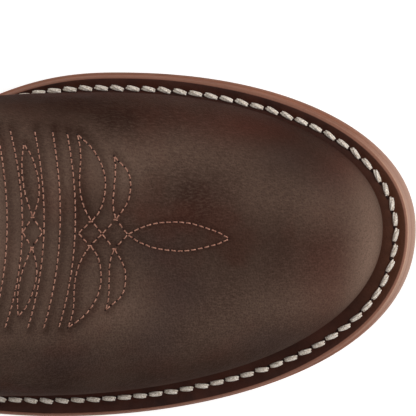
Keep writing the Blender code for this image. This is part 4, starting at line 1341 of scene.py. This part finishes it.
def stitchTree():
    tree = bpy.data.node_groups.new("stitchesAlongPath", "GeometryNodeTree")
    inputs = (
        ("Path", "Geometry"), ("Stitch", "Object"), ("Pitch", "Float"), ("Slant", "Float"),
        ("Looseness", "Float"), ("Seed", "Int"), ("Thread", "Material"),
    )
    for label, kind in inputs:
        tree.interface.new_socket(label, in_out="INPUT", socket_type="NodeSocket" + kind)
    tree.interface.new_socket("Stitches", in_out="OUTPUT", socket_type="NodeSocketGeometry")
    given = addNode(tree, "NodeGroupInput")
    path = addNode(tree, "GeometryNodeMeshToCurve", links={"Mesh": (given, "Path")})
    spacing = {"Curve": (path, "Curve"), "Length": (given, "Pitch")}
    spaced = addNode(tree, "GeometryNodeResampleCurve", {"mode": "LENGTH"}, spacing)
    ahead = addNode(tree, "GeometryNodeInputTangent")
    outward = {"data_type": "FLOAT_VECTOR", "Name": "facing"}
    out = addNode(tree, "GeometryNodeInputNamedAttribute", outward)
    along = addNode(tree, "FunctionNodeAlignRotationToVector", {"axis": "X"}, {"Vector": (ahead, 0)})
    roll = {"axis": "Z", "pivot_axis": "X"}
    tilt = {"Rotation": (along, 0), "Vector": (out, 0)}
    upright = addNode(tree, "FunctionNodeAlignRotationToVector", roll, tilt)
    angles = {0: (given, "Slant"), 1: (given, "Looseness")}
    least = addNode(tree, "ShaderNodeMath", {"operation": "SUBTRACT"}, angles)
    most = addNode(tree, "ShaderNodeMath", {"operation": "ADD"}, angles)
    limits = {2: (least, 0), 3: (most, 0), "Seed": (given, "Seed")}
    angle = addNode(tree, "FunctionNodeRandomValue", {"data_type": "FLOAT"}, limits)
    spin = addNode(tree, "FunctionNodeAxisAngleToRotation", {"Axis": (0.0, 0.0, 1.0)}, {"Angle": (angle, 1)})
    loosely = {"Rotation": (upright, 0), "Rotate By": (spin, 0)}
    turned = addNode(tree, "FunctionNodeRotateRotation", {"rotation_space": "LOCAL"}, loosely)
    shape = addNode(tree, "GeometryNodeObjectInfo", {"As Instance": True}, {"Object": (given, "Stitch")})
    places = {"Points": (spaced, "Curve"), "Instance": (shape, "Geometry"), "Rotation": (turned, 0)}
    laid = addNode(tree, "GeometryNodeInstanceOnPoints", links=places)
    real = addNode(tree, "GeometryNodeRealizeInstances", links={"Geometry": (laid, 0)})
    dye = {"Geometry": (real, 0), "Material": (given, "Thread")}
    dyed = addNode(tree, "GeometryNodeSetMaterial", links=dye)
    addNode(tree, "NodeGroupOutput", links={0: (dyed, 0)})
    return tree


sewingTree = stitchTree()


def shortened(line, normals, cut):
    # the first and last stitch stand half a pitch in, so their thread ends where the line does
    at = lengthAlong(line)
    kept = np.linspace(cut, at[-1] - cut, len(line))
    return [np.stack([np.interp(kept, at, axis) for axis in values.T], axis=1) for values in (line, normals)]


def sew(name, paths, sewing, shape, material):
    # paths are (points, facing) in mm; the result is one plain mesh
    points, outward, edges = [], [], []
    for line, normals in paths:
        line, normals = shortened(line, normals, sewing["pitch"] / 2)
        start = len(points)
        points += toFrame(line)
        outward += normals.tolist()
        edges += [(start + i, start + i + 1) for i in range(len(line) - 1)]
    mesh = bpy.data.meshes.new(name + "Path")
    mesh.from_pydata(points, edges, [])
    values = np.array(outward, np.float32).ravel()
    mesh.attributes.new("facing", "FLOAT_VECTOR", "POINT").data.foreach_set("vector", values)
    made = addObject(name, mesh)
    stitchPoints, stitchFaces = shape(sewing)
    stitchMesh = closedMesh(name + "Stitch", (stitchPoints * mm).tolist(), stitchFaces)
    stitch = addObject(name + "Stitch", stitchMesh)
    laying = made.modifiers.new("laying", "NODES")
    laying.node_group = sewingTree
    values = {
        "Stitch": stitch, "Pitch": sewing["pitch"] * mm, "Slant": math.radians(sewing["slant"]),
        "Looseness": math.radians(sewing["looseness"]), "Seed": sewing["seed"], "Thread": material,
    }
    for item in sewingTree.interface.items_tree:
        if item.in_out == "INPUT" and item.name in values:
            laying[item.identifier] = values[item.name]
    evaluated = made.evaluated_get(bpy.context.evaluated_depsgraph_get())
    finished = bpy.data.meshes.new_from_object(evaluated)
    made.modifiers.clear()
    made.data = finished
    made.data.name = name
    bpy.data.objects.remove(stitch, do_unlink=True)
    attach(made, "root")


def dropped(plan, face):
    # plan points let down on a face from above, with the way the face looks there
    faces = gridFaces(*face.shape[:2]).tolist()
    tree = BVHTree.FromPolygons(face.reshape(-1, 3).tolist(), faces)
    above = 2 * face[..., 2].max()
    points, outward = [], []
    for s, y in plan:
        place, normal = tree.ray_cast(Vector((s, y, above)), Vector((0.0, 0.0, -1.0)))[:2]
        points.append(list(place))
        outward.append(list(normal if normal.z > 0 else -normal))
    return np.array(points), np.array(outward)


def edgePath(shape, depth):
    # a line laid a fixed depth below an overlay's top edge
    share = np.linspace(trimSewing["ends"], 1 - trimSewing["ends"], trimSewing["edgePoints"])
    rows = overlayRows(shape, share, lambda whole: whole - depth)[0][:, 0]
    u = overlayColumn(shape, share, rows)
    return facing(u, rows, last["gap"] + last["overlay"] - folded(u, rows))


def strapPaths(side):
    # down both edges and across the foot of the outer leg
    half = strapShape["width"] / 2 - trimSewing["strapInset"]
    across = np.linspace(-half, half, trimSewing["strapPoints"])
    lift = np.full(len(across), strapShape["thickness"])
    low, high = strapLines(side, across, lift), strapLines(side, across, lift + 1.0)
    foot, end = trimSewing["strapLeg"]
    parts = ((0, slice(foot, end)), (-1, slice(foot, end)), (slice(None), foot))
    return [(low[part], high[part] - low[part]) for part in parts]


def bindingPath():
    u = np.linspace(0, 1, trimSewing["bindingPoints"])
    return facing(u, last["collarRow"] - trimSewing["bindingRow"], last["gap"] + bindingShape["thickness"])


def makeStitches():
    line = inset(soleEdge, alongEdge(weltShape["stitchInset"]))
    path = soleLevel(sidePath(line, weltSewing["start"]), weltTop)
    path[:, 2] -= weltShape["channelDepth"]
    welt = [(path, np.tile((0.0, 0.0, 1.0), (len(path), 1)))]
    sew("weltStitching", welt, weltSewing, threadShape, creamThread)
    # dark discs of painted shade at the needle holes
    sew("weltHoles", welt, weltSewing, holeShape, holeShade)
    toe = [dropped(line, vampFace) for line in motifLines]
    sew("toeStitching", toe, vampSewing, threadShape, copperThread)
    # dark discs of painted shade at the needle holes
    sew("toeHoles", toe, vampSewing, holeShape, holeShade)
    trims = [edgePath(shape, depth) for shape in (vampShape, counterShape) for depth in trimSewing["rows"]]
    trims += strapPaths(1) + strapPaths(-1) + [bindingPath()]
    sew("trimStitching", trims, trimSewing, threadShape, copperThread)


makeStitches()
print("stitching laid")
